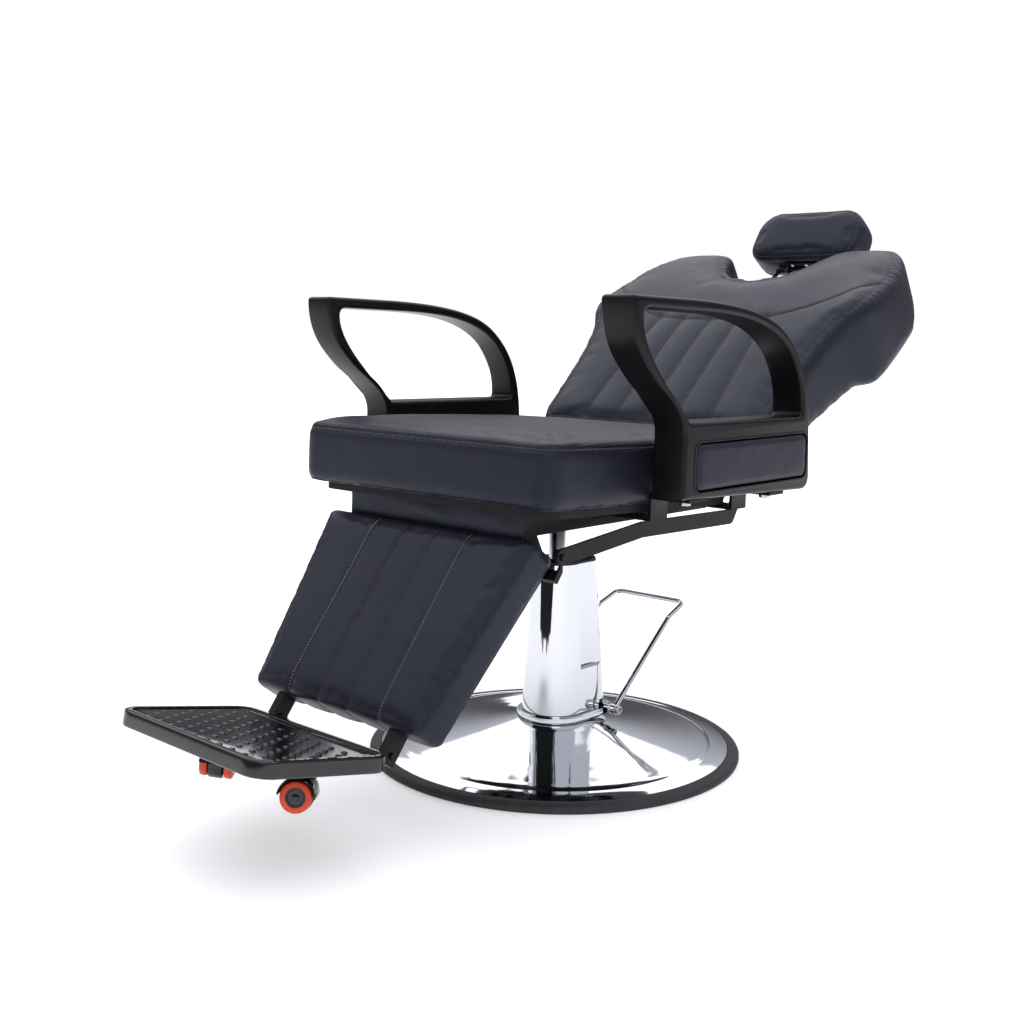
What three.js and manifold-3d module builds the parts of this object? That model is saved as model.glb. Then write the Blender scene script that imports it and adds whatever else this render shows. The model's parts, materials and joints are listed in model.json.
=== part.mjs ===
// Hydraulic barber chair: chrome pump base, swivelling seat with padded arms, reclining back
// with a headrest, and a legrest whose footplate carries two casters.
// Millimetres, +Z up. The origin is on the column's axis at floor level. The chair faces -Y,
// and +X is the sitter's left.
import * as THREE from "three";
import { mergeVertices } from "three/addons/utils/BufferGeometryUtils.js";
import Module from "manifold-3d";

const wasm = await Module();
wasm.setup();

// ---------------------------------------------------------------- driving dimensions
const GAP = 0.3;
const BASE_R = 300;
const DOME_R = 280.7;
const DOME_TOP = 54.5;
const COVER_BOTTOM = 66;
const COVER_TOP = 309;
const COVER_R_LOW = 53;
const COVER_R_HIGH = 41.5;
const COVER_REAR = 44;
const COVER_WALL = 2.2;
const ROD_R = 13.5;
const ROD_TOP = 399;
const PEDAL = { y: 62, z: 66, halfWidth: 75, rodR: 4.6, eyeR: 8.5, shaftR: 5.6 };

const SEAT_TILT = 2.2;
const SEAT = { halfWidth: 248, front: -305, rear: 150, bottom: 444, thick: 88, boardThick: 12 };
const FRAME = { low: 396, high: 408, railX: 150, railHalf: 12, front: -274, rear: 178 };
const ARM = { inner: 272, outer: 327, boltX: 299 };
const BRACKET = { thick: 4.5, halfLong: 20, riserX: 250.5 };

const BACK_PIVOT = { y: 200, z: 460 };
const BACK_LEAN = 56.6;
const BACK_ARM_X = 206.5;
const EAR_X = 190.5;
const HINGE_PIN_R = 6;
const CRANK = { y: 196, z: 449.5, pinR: 3.5, eyeBore: 5.2 };
const HEAD = { rodX: 48, rodY: 4, axisZ: 620, tilt: 24.3, rodLow: 330, guideLow: 390, guideHigh: 448 };
const HEAD_PAD = { halfWidth: 118, front: -33, rear: 39, low: 8, high: 126, corner: 46 };

const LEG_PIVOT = { y: -262, z: 418 };
const LEG_LEAN = 37.2;
const LEG_PAD = { top: -31.5, bottom: -322.5, front: -11, rear: 37, halfTop: 209, halfBottom: 172 };
const LEG_PIN = { y: 38, z: -25.2, r: 5 };
const TUBE = { x: 118, wide: 15, front: -2, rear: 23, end: -368 };
const LINK = { x: 219, thick: 5, halfWide: 11.5 };

const FOLD = { y: 10.5, z: -355, tilt: 25.4 };
const TRAY = { rear: -21.5, long: 215, halfWidth: 155, top: 7.6, bottom: -14.4, corner: 30 };
const CASTER = { x: 95, y: -102, trail: 14, axleZ: -54, wheelR: 20.5, wheelWide: 11, spacing: 33 };
const CASTER_TURN = { left: -47.2, right: 42.8 };
const LEVER = { y: 30, z: 368, rodR: 4.5 };
const STRUT = { x: -62, y: -60, z: 360, rearY: 200, rearZ: 400, pinR: 3.5, eyeBore: 8 };

const RAD = Math.PI / 180;

// ---------------------------------------------------------------- materials
const finish = (color, roughness, metalness) =>
  new THREE.MeshStandardMaterial({ color, roughness, metalness });
const MAT = {
  chrome: finish(0xd9dce0, 0.08, 1),
  steel: finish(0x9b9ea3, 0.35, 1),
  blackSteel: finish(0x17181a, 0.45, 0.3),
  leather: finish(0x2b2c36, 0.5, 0),
  armPlastic: finish(0x111215, 0.38, 0),
  glossPlastic: finish(0x0a0b0c, 0.15, 0),
  rubber: finish(0x26282b, 0.7, 0),
  redTyre: finish(0xd8341c, 0.4, 0),
  wood: finish(0xa98a5f, 0.7, 0),
};

const chair = new THREE.Group();

// ---------------------------------------------------------------- helpers
function place(name, geometry, material, parent = chair) {
  const mesh = new THREE.Mesh(geometry, material);
  mesh.name = name;
  parent.add(mesh);
  return mesh;
}

function toSolid(geometry) {
  const bare = geometry.index ? geometry.toNonIndexed() : geometry.clone();
  bare.deleteAttribute("normal");
  bare.deleteAttribute("uv");
  const merged = mergeVertices(bare, 1e-3);
  return new wasm.Manifold(
    new wasm.Mesh({
      numProp: 3,
      vertProperties: merged.attributes.position.array,
      triVerts: new Uint32Array(merged.index.array),
    }),
  );
}

function toGeometry(solid) {
  const mesh = solid.getMesh();
  const geometry = new THREE.BufferGeometry();
  geometry.setAttribute("position", new THREE.BufferAttribute(mesh.vertProperties, 3));
  geometry.setIndex(new THREE.BufferAttribute(mesh.triVerts, 1));
  return geometry;
}

const join = (...shapes) => toGeometry(shapes.map(toSolid).reduce((sum, s) => sum.add(s)));
const cut = (body, ...tools) =>
  toGeometry(tools.map(toSolid).reduce((left, s) => left.subtract(s), toSolid(body)));
const common = (a, b) => toGeometry(toSolid(a).intersect(toSolid(b)));

// A block given by its low and high corner.
function block(x0, x1, y0, y1, z0, z1) {
  const shape = new THREE.BoxGeometry(x1 - x0, y1 - y0, z1 - z0);
  return shape.translate((x0 + x1) / 2, (y0 + y1) / 2, (z0 + z1) / 2);
}

// A round bar from one point to another.
function bar(from, to, radius, sides = 12) {
  const a = new THREE.Vector3(...from);
  const b = new THREE.Vector3(...to);
  const along = b.clone().sub(a);
  const shape = new THREE.CylinderGeometry(radius, radius, along.length(), sides);
  const turn = new THREE.Quaternion().setFromUnitVectors(
    new THREE.Vector3(0, 1, 0),
    along.clone().normalize(),
  );
  return shape.applyQuaternion(turn).translate(...a.add(b).multiplyScalar(0.5).toArray());
}

// A bent rod: straight bars with a ball at every bend.
function bentRod(points, radius, sides = 10) {
  const pieces = [];
  for (let i = 0; i + 1 < points.length; i += 1) {
    pieces.push(bar(points[i], points[i + 1], radius, sides));
  }
  for (const point of points.slice(1, -1)) {
    pieces.push(new THREE.SphereGeometry(radius, sides, 6).translate(...point));
  }
  return join(...pieces);
}

// A ring or disc turned about Z from its [radius, height] outline.
function turned(outline, sides = 48) {
  const points = outline.map(([r, z]) => new THREE.Vector2(r, z));
  if (THREE.ShapeUtils.area(points) < 0) points.reverse();
  const closed = points[0].x === 0 ? points : [...points, points[0]];
  return new THREE.LatheGeometry(closed, sides).rotateX(Math.PI / 2);
}

// The same, with the axis along X and centred on the given point.
function turnedX(outline, [x, y, z], sides = 24) {
  return turned(outline, sides).rotateY(Math.PI / 2).translate(x, y, z);
}

function outlineShape(points) {
  return new THREE.Shape(points.map(([a, b]) => new THREE.Vector2(a, b)));
}

// A YZ outline swept along X from x0 to x1.
function sweptX(shape, x0, x1, options = {}) {
  const bevel = options.bevel ?? 0;
  const solid = new THREE.ExtrudeGeometry(shape, {
    depth: x1 - x0 - 2 * bevel,
    bevelEnabled: bevel > 0,
    bevelThickness: bevel,
    bevelSize: bevel,
    bevelOffset: -bevel,
    bevelSegments: options.steps ?? 2,
    curveSegments: options.curve ?? 4,
  });
  solid.translate(0, 0, bevel);
  return solid.applyMatrix4(
    new THREE.Matrix4().set(0, 0, 1, x0, 1, 0, 0, 0, 0, 1, 0, 0, 0, 0, 0, 1),
  );
}

// An XZ outline swept along Y from y0 to y1.
function sweptY(shape, y0, y1, options = {}) {
  const bevel = options.bevel ?? 0;
  const solid = new THREE.ExtrudeGeometry(shape, {
    depth: y1 - y0 - 2 * bevel,
    bevelEnabled: bevel > 0,
    bevelThickness: bevel,
    bevelSize: bevel,
    bevelOffset: -bevel,
    bevelSegments: options.steps ?? 2,
    curveSegments: options.curve ?? 4,
  });
  return solid.translate(0, 0, bevel).rotateX(Math.PI / 2).translate(0, y1, 0);
}

// An XY outline swept up from z0 to z1.
function sweptZ(shape, z0, z1, options = {}) {
  const bevel = options.bevel ?? 0;
  const solid = new THREE.ExtrudeGeometry(shape, {
    depth: z1 - z0 - 2 * bevel,
    bevelEnabled: bevel > 0,
    bevelThickness: bevel,
    bevelSize: bevel,
    bevelOffset: -bevel,
    bevelSegments: options.steps ?? 2,
    curveSegments: options.curve ?? 4,
  });
  return solid.translate(0, 0, z0 + bevel);
}

// A rectangle with rounded corners, centred on (a, b).
function roundedRect(a, b, wide, high, radius) {
  const shape = new THREE.Shape();
  const [x0, x1, y0, y1] = [a - wide / 2, a + wide / 2, b - high / 2, b + high / 2];
  shape.moveTo(x0 + radius, y0);
  shape.lineTo(x1 - radius, y0);
  shape.absarc(x1 - radius, y0 + radius, radius, -Math.PI / 2, 0);
  shape.lineTo(x1, y1 - radius);
  shape.absarc(x1 - radius, y1 - radius, radius, 0, Math.PI / 2);
  shape.lineTo(x0 + radius, y1);
  shape.absarc(x0 + radius, y1 - radius, radius, Math.PI / 2, Math.PI);
  shape.lineTo(x0, y0 + radius);
  shape.absarc(x0 + radius, y0 + radius, radius, Math.PI, Math.PI * 1.5);
  return shape;
}

// A group whose frame is turned back about X by an angle, with its origin on a pivot.
function leaning(pivot, degrees) {
  const group = new THREE.Group();
  group.position.set(0, pivot.y, pivot.z);
  group.rotation.x = -degrees * RAD;
  chair.add(group);
  return group;
}

// ---------------------------------------------------------------- base and pump
function makeBase() {
  place("base_plate", turned([[0, 0], [279, 0], [279, 5], [0, 5]], 40), MAT.steel);
  place(
    "base_rim",
    turned([
      [281.2, 0],
      [296, 0],
      [BASE_R, 3],
      [BASE_R - 0.5, 8],
      [296, 11.5],
      [281.2, 13.6],
    ], 44),
    MAT.rubber,
  );
  const skin = [
    [31, DOME_TOP], [58, DOME_TOP], [72, 49], [92, 43], [130, 35.2], [200, 25.5], [247, 20.5],
    [253, 18.5], [DOME_R, 13.6],
  ];
  const under = skin.map(([r, z]) => [r, z - 2.3]).reverse();
  place("base_dome", turned([...skin, ...under], 44), MAT.chrome);
}

// A rounded oblong about the column: a half circle in front and one COVER_REAR behind it.
function coverOutline(radius, rear = COVER_REAR) {
  const shape = new THREE.Shape();
  shape.absarc(0, rear, radius, 0, Math.PI);
  shape.absarc(0, 0, radius, Math.PI, Math.PI * 2);
  return shape;
}

// The oblong swept up and drawn in towards the top.
function coverTaper(radius, z0, z1) {
  const solid = sweptZ(coverOutline(radius), z0, z1, { curve: 10 });
  const at = solid.attributes.position;
  const slope = (COVER_R_HIGH / COVER_R_LOW - 1) / (COVER_TOP - COVER_BOTTOM);
  for (let i = 0; i < at.count; i += 1) {
    const k = 1 + slope * (at.getZ(i) - COVER_BOTTOM);
    at.setX(i, at.getX(i) * k);
    at.setY(i, at.getY(i) * k);
  }
  return solid;
}

function makeColumn() {
  const outer = coverTaper(COVER_R_LOW, COVER_BOTTOM, COVER_TOP);
  const facetX = 40;
  const facetLow = 138;
  const flats = [-1, 1].map((s) =>
    block(...(s > 0 ? [facetX, 70] : [-70, -facetX]), 6, 120, facetLow, COVER_TOP + 5),
  );
  const hollow = coverTaper(COVER_R_LOW - COVER_WALL, COVER_BOTTOM - 5, COVER_TOP + 5);
  const narrowed = cut(
    hollow,
    ...[-1, 1].map((s) =>
      block(
        ...(s > 0 ? [facetX - COVER_WALL, 70] : [-70, -facetX + COVER_WALL]),
        6 - COVER_WALL, 120, facetLow - COVER_WALL, COVER_TOP + 6,
      ),
    ),
  );
  const shaftSlot = block(-80, 80, PEDAL.y - 11, PEDAL.y + 11, COVER_BOTTOM - 6, PEDAL.z + 13);
  const shell = cut(cut(outer, ...flats), narrowed, shaftSlot);
  place("column_cover", shell, MAT.chrome);

  const ring = cut(
    sweptZ(coverOutline(61), DOME_TOP + GAP, COVER_BOTTOM - GAP, { bevel: 1.5, steps: 1, curve: 8 }),
    sweptZ(coverOutline(49), DOME_TOP - 5, COVER_BOTTOM + 5, { curve: 8 }),
    block(-90, 90, PEDAL.y - 11, PEDAL.y + 11, PEDAL.z - 10.5, COVER_BOTTOM + 5),
  );
  place("column_collar", ring, MAT.chrome);

  const lipLow = COVER_TOP + GAP;
  const lipRear = (COVER_REAR * COVER_R_HIGH) / COVER_R_LOW;
  const lip = cut(
    sweptZ(coverOutline(COVER_R_HIGH - 1, lipRear), lipLow, lipLow + 4, { curve: 10 }),
    sweptZ(coverOutline(COVER_R_HIGH - 9, lipRear), lipLow - 5, lipLow + 9, { curve: 10 }),
    block(40, 60, 6, 120, lipLow - 5, lipLow + 9),
    block(-60, -40, 6, 120, lipLow - 5, lipLow + 9),
  );
  place("cover_lip", lip, MAT.rubber);
}

function makePump() {
  const boreR = ROD_R + 0.5;
  const barrel = turned([
    [0, 5.3], [44, 5.3], [44, 12], [29, 14], [27, 16], [27, 300], [boreR, 300], [boreR, 72], [0, 72],
  ], 24);
  const lug = block(-22, 22, 20, PEDAL.y + 11, PEDAL.z - 11, PEDAL.z + 11);
  const clear = bar([-40, PEDAL.y, PEDAL.z], [40, PEDAL.y, PEDAL.z], PEDAL.shaftR + GAP, 24);
  place("pump_barrel", cut(join(barrel, lug), clear), MAT.steel);
  place("piston_rod", turned([[0, 96], [ROD_R, 96], [ROD_R, ROD_TOP], [0, ROD_TOP]], 32), MAT.chrome);
}

// The foot loop behind the column: two bent legs, a crossbar, and an eye on each end of the shaft.
function makePedal() {
  const { y, z, halfWidth, rodR, eyeR, shaftR } = PEDAL;
  const loop = bentRod([
    [halfWidth, y + 4, z + 4], [halfWidth, 206, 196], [halfWidth - 3, 254, 214.6],
    [-halfWidth + 3, 254, 214.6], [-halfWidth, 206, 196], [-halfWidth, y + 4, z + 4],
  ], rodR);
  const eyes = [-1, 1].map((s) =>
    bar([s * (halfWidth - 7), y, z], [s * (halfWidth + 7), y, z], eyeR, 20),
  );
  const shaft = bar([-halfWidth, y, z], [halfWidth, y, z], shaftR, 16);
  place("pump_lever", join(loop, ...eyes, shaft), MAT.chrome);
  for (const [side, s] of [["left", 1], ["right", -1]]) {
    const x = s * (halfWidth + 7 + GAP);
    const head = turnedX([[0, 0], [7.5, 0], [7.5, 5], [0, 5]], [x, y, z], 6);
    if (s < 0) head.translate(-x, 0, 0).scale(-1, 1, 1).translate(x, 0, 0);
    place(`lever_bolt_${side}`, s < 0 ? flipped(head) : head, MAT.steel);
  }
}

// A geometry with an index, so that its faces can be turned round.
function indexed(geometry) {
  if (geometry.index) return geometry;
  geometry.deleteAttribute("normal");
  geometry.deleteAttribute("uv");
  return mergeVertices(geometry, 1e-3);
}

// A mirrored geometry with its faces turned the right way round again.
function flipped(geometry) {
  const index = geometry.index.array;
  for (let i = 0; i < index.length; i += 3) {
    [index[i + 1], index[i + 2]] = [index[i + 2], index[i + 1]];
  }
  return geometry;
}

// ---------------------------------------------------------------- seat
// Height of the seat board's underside, less the fitting gap, at a distance y along the seat.
function underBoard(y) {
  const slope = Math.tan(SEAT_TILT * RAD);
  return SEAT.bottom - SEAT.boardThick - GAP - slope * (y - SEAT.front) - 2 * GAP;
}

function makeSeat() {
  const { halfWidth, front, rear, bottom, thick, boardThick } = SEAT;
  const tilted = new THREE.Group();
  tilted.position.set(0, front, bottom);
  tilted.rotation.x = -SEAT_TILT * RAD;
  chair.add(tilted);
  const midY = (rear - front) / 2;
  const plan = roundedRect(0, midY, 2 * halfWidth, rear - front, 38);
  place("seat_cushion", sweptZ(plan, 0, thick, { bevel: 14, steps: 2 }), MAT.leather, tilted);
  const boardPlan = roundedRect(0, midY, 470, 430, 30);
  place("seat_board", sweptZ(boardPlan, -GAP - boardThick, -GAP, { curve: 4 }), MAT.wood, tilted);
}

// Two rails with raised pads under the board, two crossbars and a centre plate.
function makeFrame() {
  const { low, high, railX, railHalf, front, rear } = FRAME;
  const pads = [[front, -111], [-45, 107]];
  const side = [[front, low], [rear, low], [rear, high]];
  for (const [y0, y1] of pads.reverse()) {
    side.push([y1, high], [y1, underBoard(y1)], [y0, underBoard(y0)]);
    if (y0 > front) side.push([y0, high]);
  }
  const rails = [-1, 1].map((s) =>
    sweptX(outlineShape(side), s * railX - railHalf, s * railX + railHalf),
  );
  const crossbars = [-160, 96].map((y) => block(-railX, railX, y - 10, y + 10, low, high));
  const centre = block(-80, 80, -165, 100, high - 4, high);
  const clevis = block(STRUT.x - 16, STRUT.x - 12, STRUT.y - 9, STRUT.y + 9, STRUT.z - 9, high);
  const strutPin = bar([STRUT.x - 14, STRUT.y, STRUT.z], [STRUT.x + 11, STRUT.y, STRUT.z], STRUT.pinR);
  const leverLug = block(-railX - 18, -railX - 12, 20, 40, 358, high);
  const legBore = bar([-railX - 20, LEG_PIVOT.y, LEG_PIVOT.z], [railX + 20, LEG_PIVOT.y, LEG_PIVOT.z], 4.8);
  const leverBore = bar([-railX - 30, LEVER.y, LEVER.z], [-railX, LEVER.y, LEVER.z], LEVER.rodR + GAP);
  const strutNotch = block(STRUT.x - 12, STRUT.x + 12, 80, 112, low - 1, low + 6);
  const body = join(...rails, ...crossbars, centre, clevis, strutPin, leverLug);
  place("seat_frame", cut(body, legBore, leverBore, strutNotch), MAT.blackSteel);

  const bore = ROD_R + 0.4;
  const socket = turned([
    [bore, 378], [19, 378], [19, 390], [42, 392], [42, high - 4 - GAP], [0, high - 4 - GAP],
    [0, ROD_TOP + GAP], [bore, ROD_TOP + GAP],
  ], 28);
  place("seat_socket", socket, MAT.blackSteel);
}

// A flat bar that runs under the seat and turns up under both arms, with a bolt into each arm.
function makeArmBrackets() {
  const { thick, halfLong, riserX } = BRACKET;
  for (const [where, y, low, top] of [["front", -78, 412.5, 448.8], ["rear", 128, 409, 441.8]]) {
    const right = [
      [0, low], [riserX + thick, low], [riserX + thick, top - thick], [320, top - thick],
      [320, top], [riserX, top], [riserX, low + thick], [0, low + thick],
    ];
    const left = right.map(([x, z]) => [-x, z]).reverse();
    const strip = [right, left].map((half) => sweptY(outlineShape(half), y - halfLong, y + halfLong));
    const bores = [-1, 1].map((s) => bar([s * ARM.boltX, y, low], [s * ARM.boltX, y, top + 5], 4.4, 12));
    place(`arm_bracket_${where}`, cut(join(...strip), ...bores), MAT.blackSteel);
    for (const [side, s] of [["left", 1], ["right", -1]]) {
      const head = new THREE.CylinderGeometry(8, 8, 6, 6).rotateX(Math.PI / 2);
      const under = top - thick - GAP;
      head.translate(s * ARM.boltX, y, under - 3);
      const shank = bar([s * ARM.boltX, y, under - 2], [s * ARM.boltX, y, top + 7], 4, 12);
      place(`arm_bolt_${where}_${side}`, join(head, shank), MAT.steel);
    }
  }
}

function armOutline() {
  const shape = new THREE.Shape();
  shape.moveTo(-123, 451.3);
  shape.lineTo(192, 441);
  shape.quadraticCurveTo(211, 441, 211, 462);
  shape.lineTo(206, 530);
  shape.bezierCurveTo(202, 600, 176, 645, 128, 678);
  shape.bezierCurveTo(85, 706, 10, 717, -100, 721);
  shape.lineTo(-236, 724);
  shape.quadraticCurveTo(-243.5, 724, -243.5, 717);
  shape.bezierCurveTo(-243.5, 665, -216, 640, -190, 616);
  shape.bezierCurveTo(-165, 594, -122, 575, -121, 540);
  return shape;
}

function armHole() {
  const hole = new THREE.Shape();
  hole.moveTo(-109, 556);
  hole.bezierCurveTo(-150, 596, -219, 650, -219, 694);
  hole.quadraticCurveTo(-219, 707, -204, 707);
  hole.lineTo(-80, 704);
  hole.bezierCurveTo(30, 701, 100, 688, 145, 648);
  hole.bezierCurveTo(175, 615, 183, 590, 183, 562);
  hole.quadraticCurveTo(183, 553, 174, 553);
  return hole;
}

function makeArms() {
  const panelAt = (grow, depth, options) =>
    sweptX(
      roundedRect(51, 493.5, 292 + 2 * grow, 66 + 2 * grow, 12 + grow),
      ARM.outer - 8 + (depth > 10 ? 0 : GAP), ARM.outer - 8 + depth, options,
    );
  for (const [side, s] of [["left", 1], ["right", -1]]) {
    const body = sweptX(armOutline(), ARM.inner, ARM.outer, { bevel: 3, steps: 1, curve: 6 });
    const hand = sweptX(armHole(), ARM.inner - 5, ARM.outer + 5, { curve: 6 });
    const bores = [-78, 128].map((y) => bar([ARM.boltX, y, 430], [ARM.boltX, y, 458], 4.4, 12));
    const arm = cut(body, hand, panelAt(0.5, 13, { curve: 4 }), ...bores);
    const panel = panelAt(0, 9.5, { bevel: 2, steps: 1, curve: 4 });
    const turn = (g) => (s > 0 ? g : flipped(indexed(g).scale(-1, 1, 1)));
    place(`arm_${side}`, turn(arm), MAT.armPlastic);
    place(`arm_panel_${side}`, turn(panel), MAT.leather);
  }
}

// The release handle under the sitter's right arm: a cross shaft, a bent arm and a grip.
function makeReclineLever() {
  const { y, z, rodR } = LEVER;
  const rod = bentRod([[-160, y, z], [-292, y, z], [-292, y - 60, z + 2]], rodR);
  place("recline_lever", rod, MAT.blackSteel);
  const grip = cut(
    bar([-292, y - 88, z + 3], [-292, y - 24, z + 0.8], 9, 20),
    bar([-292, y - 62, z + 2.1], [-292, y, z], rodR + GAP, 16),
  );
  place("recline_grip", grip, MAT.rubber);
}

// ---------------------------------------------------------------- reclining back
// In the back's frame +Z runs up the back, -Y points out of its front, and X = 0 is the middle.
function backCushion() {
  const face = new THREE.Shape();
  face.moveTo(-205, 36);
  face.lineTo(205, 36);
  face.quadraticCurveTo(228, 40, 232, 80);
  face.bezierCurveTo(236, 150, 238, 230, 262, 300);
  face.bezierCurveTo(280, 325, 292, 345, 291, 395);
  face.bezierCurveTo(290, 460, 278, 520, 245, 562);
  face.bezierCurveTo(215, 600, 155, 612, 126, 584);
  face.bezierCurveTo(106, 562, 104, 462, 0, 458);
  face.bezierCurveTo(-104, 462, -106, 562, -126, 584);
  face.bezierCurveTo(-155, 612, -215, 600, -245, 562);
  face.bezierCurveTo(-278, 520, -290, 460, -291, 395);
  face.bezierCurveTo(-292, 345, -280, 325, -262, 300);
  face.bezierCurveTo(-238, 230, -236, 150, -232, 80);
  face.quadraticCurveTo(-228, 40, -205, 36);
  const side = new THREE.Shape();
  side.moveTo(-28, 30);
  side.quadraticCurveTo(-42, 38, -46, 75);
  side.bezierCurveTo(-56, 150, -74, 230, -77, 330);
  side.bezierCurveTo(-78, 430, -72, 520, -58, 575);
  side.quadraticCurveTo(-45, 602, -12, 602);
  side.bezierCurveTo(26, 580, 56, 500, 70, 440);
  side.bezierCurveTo(77, 405, 62, 345, 42, 300);
  side.lineTo(42, 250);
  side.quadraticCurveTo(36, 100, 18, 30);
  const padded = common(
    sweptY(face, -100, 110, { curve: 5 }),
    sweptX(side, -320, 320, { curve: 5 }),
  );
  return cut(padded, block(-62, 62, -8, 120, 262, 660));
}

// The side plate that carries the back on its hinge pin, with a crank pin for the legrest link.
function backArm(side, s, back) {
  const plate = new THREE.Shape();
  plate.absarc(0, 0, 15, Math.PI * 0.75, Math.PI * 1.75);
  plate.lineTo(62, 26);
  plate.lineTo(62, 110);
  plate.lineTo(48, 110);
  plate.lineTo(44, 30);
  const cheek = sweptX(plate, s * BACK_ARM_X - 2.5, s * BACK_ARM_X + 2.5);
  const reach = [s * 140, s * (BACK_ARM_X + 2)].sort((p, q) => p - q);
  const foot = block(...reach, 55.6, 61, 66, 108);
  const bore = bar([s * 190, 0, 0], [s * 225, 0, 0], HINGE_PIN_R + 0.4, 20);
  const lean = BACK_LEAN * RAD;
  const [dy, dz] = [CRANK.y - BACK_PIVOT.y, CRANK.z - BACK_PIVOT.z];
  const crankY = dy * Math.cos(lean) - dz * Math.sin(lean);
  const crankZ = dy * Math.sin(lean) + dz * Math.cos(lean);
  const crank = bar([s * BACK_ARM_X, crankY, crankZ], [s * 225, crankY, crankZ], CRANK.pinR, 16);
  place(`back_arm_${side}`, join(cut(join(cheek, foot), bore), crank), MAT.blackSteel, back);
}

// The fixed ear on the seat frame, and the pin through it.
function hingeEar(side, s) {
  const ear = new THREE.Shape();
  ear.moveTo(160, 408.3);
  ear.lineTo(178, 408.3);
  ear.lineTo(214, 456);
  ear.absarc(BACK_PIVOT.y, BACK_PIVOT.z, 14, 0, Math.PI * 0.75);
  ear.lineTo(160, 428);
  const plate = sweptX(ear, s * EAR_X - 2.5, s * EAR_X + 2.5);
  const foot = [s * 139, s * (EAR_X + 1)].sort((p, q) => p - q);
  const base = block(...foot, 160, 178, FRAME.high + GAP, FRAME.high + 4.3);
  const bore = bar([s * 170, BACK_PIVOT.y, BACK_PIVOT.z], [s * 240, BACK_PIVOT.y, BACK_PIVOT.z], HINGE_PIN_R + GAP, 20);
  place(`hinge_ear_${side}`, cut(join(plate, base), bore), MAT.blackSteel);
  const pin = bar([s * 184, BACK_PIVOT.y, BACK_PIVOT.z], [s * 212, BACK_PIVOT.y, BACK_PIVOT.z], HINGE_PIN_R, 20);
  place(`hinge_pin_${side}`, pin, MAT.steel);
}

function makeBack() {
  const back = leaning(BACK_PIVOT, BACK_LEAN);
  place("back_cushion", backCushion(), MAT.leather, back);
  const { rodX, rodY, guideLow, guideHigh } = HEAD;
  const lower = sweptY(roundedRect(0, 158, 330, 190, 12), 43, 55, { curve: 3 });
  const spine = block(-54, 54, 43, 55, 200, guideHigh);
  const crank = block(STRUT.x - 3, STRUT.x + 3, 44, 60, -42, 80);
  const lean = BACK_LEAN * RAD;
  const drop = STRUT.rearZ - BACK_PIVOT.z;
  const strutY = -drop * Math.sin(lean);
  const strutZ = drop * Math.cos(lean);
  const pin = bar([STRUT.x, strutY, strutZ], [STRUT.x + 16, strutY, strutZ], STRUT.pinR, 16);
  place("back_board", join(lower, spine, crank, pin), MAT.blackSteel, back);
  for (const [side, s] of [["left", 1], ["right", -1]]) {
    backArm(side, s, back);
    hingeEar(side, s);
  }
  const guide = cut(
    block(-58, 58, -5, 42.7, guideLow, guideHigh),
    ...[-1, 1].map((s) => bar([s * rodX, rodY, guideLow - 9], [s * rodX, rodY, guideHigh + 9], 4.4, 16)),
  );
  place("headrest_guide", guide, MAT.blackSteel, back);
  return back;
}

// Two rods that slide in the guide, joined by the tube that the headrest tilts on.
function makeHeadrest(back) {
  const { rodX, rodY, axisZ, rodLow } = HEAD;
  const rods = [-1, 1].map((s) => bar([s * rodX, rodY, rodLow], [s * rodX, rodY, axisZ], 4, 14));
  const cross = bar([-rodX - 5, rodY, axisZ], [rodX + 5, rodY, axisZ], 5, 16);
  place("headrest_rods", join(...rods, cross), MAT.blackSteel, back);

  const head = new THREE.Group();
  head.position.set(0, rodY, axisZ);
  head.rotation.x = HEAD.tilt * RAD;
  back.add(head);
  const { halfWidth, front, rear, low, high, corner } = HEAD_PAD;
  const padPlan = roundedRect(0, (low + high) / 2, 2 * halfWidth, high - low, corner);
  place("headrest_pad", sweptY(padPlan, front, rear, { bevel: 15, steps: 2, curve: 5 }), MAT.leather, head);
  const plate = block(-34, 34, -15, 20, low - 2.3, low - GAP);
  const lugs = [-1, 1].map((s) => block(s * 26 - 3, s * 26 + 3, -10, 10, -10, low - 1));
  const bore = bar([-60, 0, 0], [60, 0, 0], 5.4, 20);
  place("headrest_bracket", cut(join(plate, ...lugs), bore), MAT.blackSteel, head);
}

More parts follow.
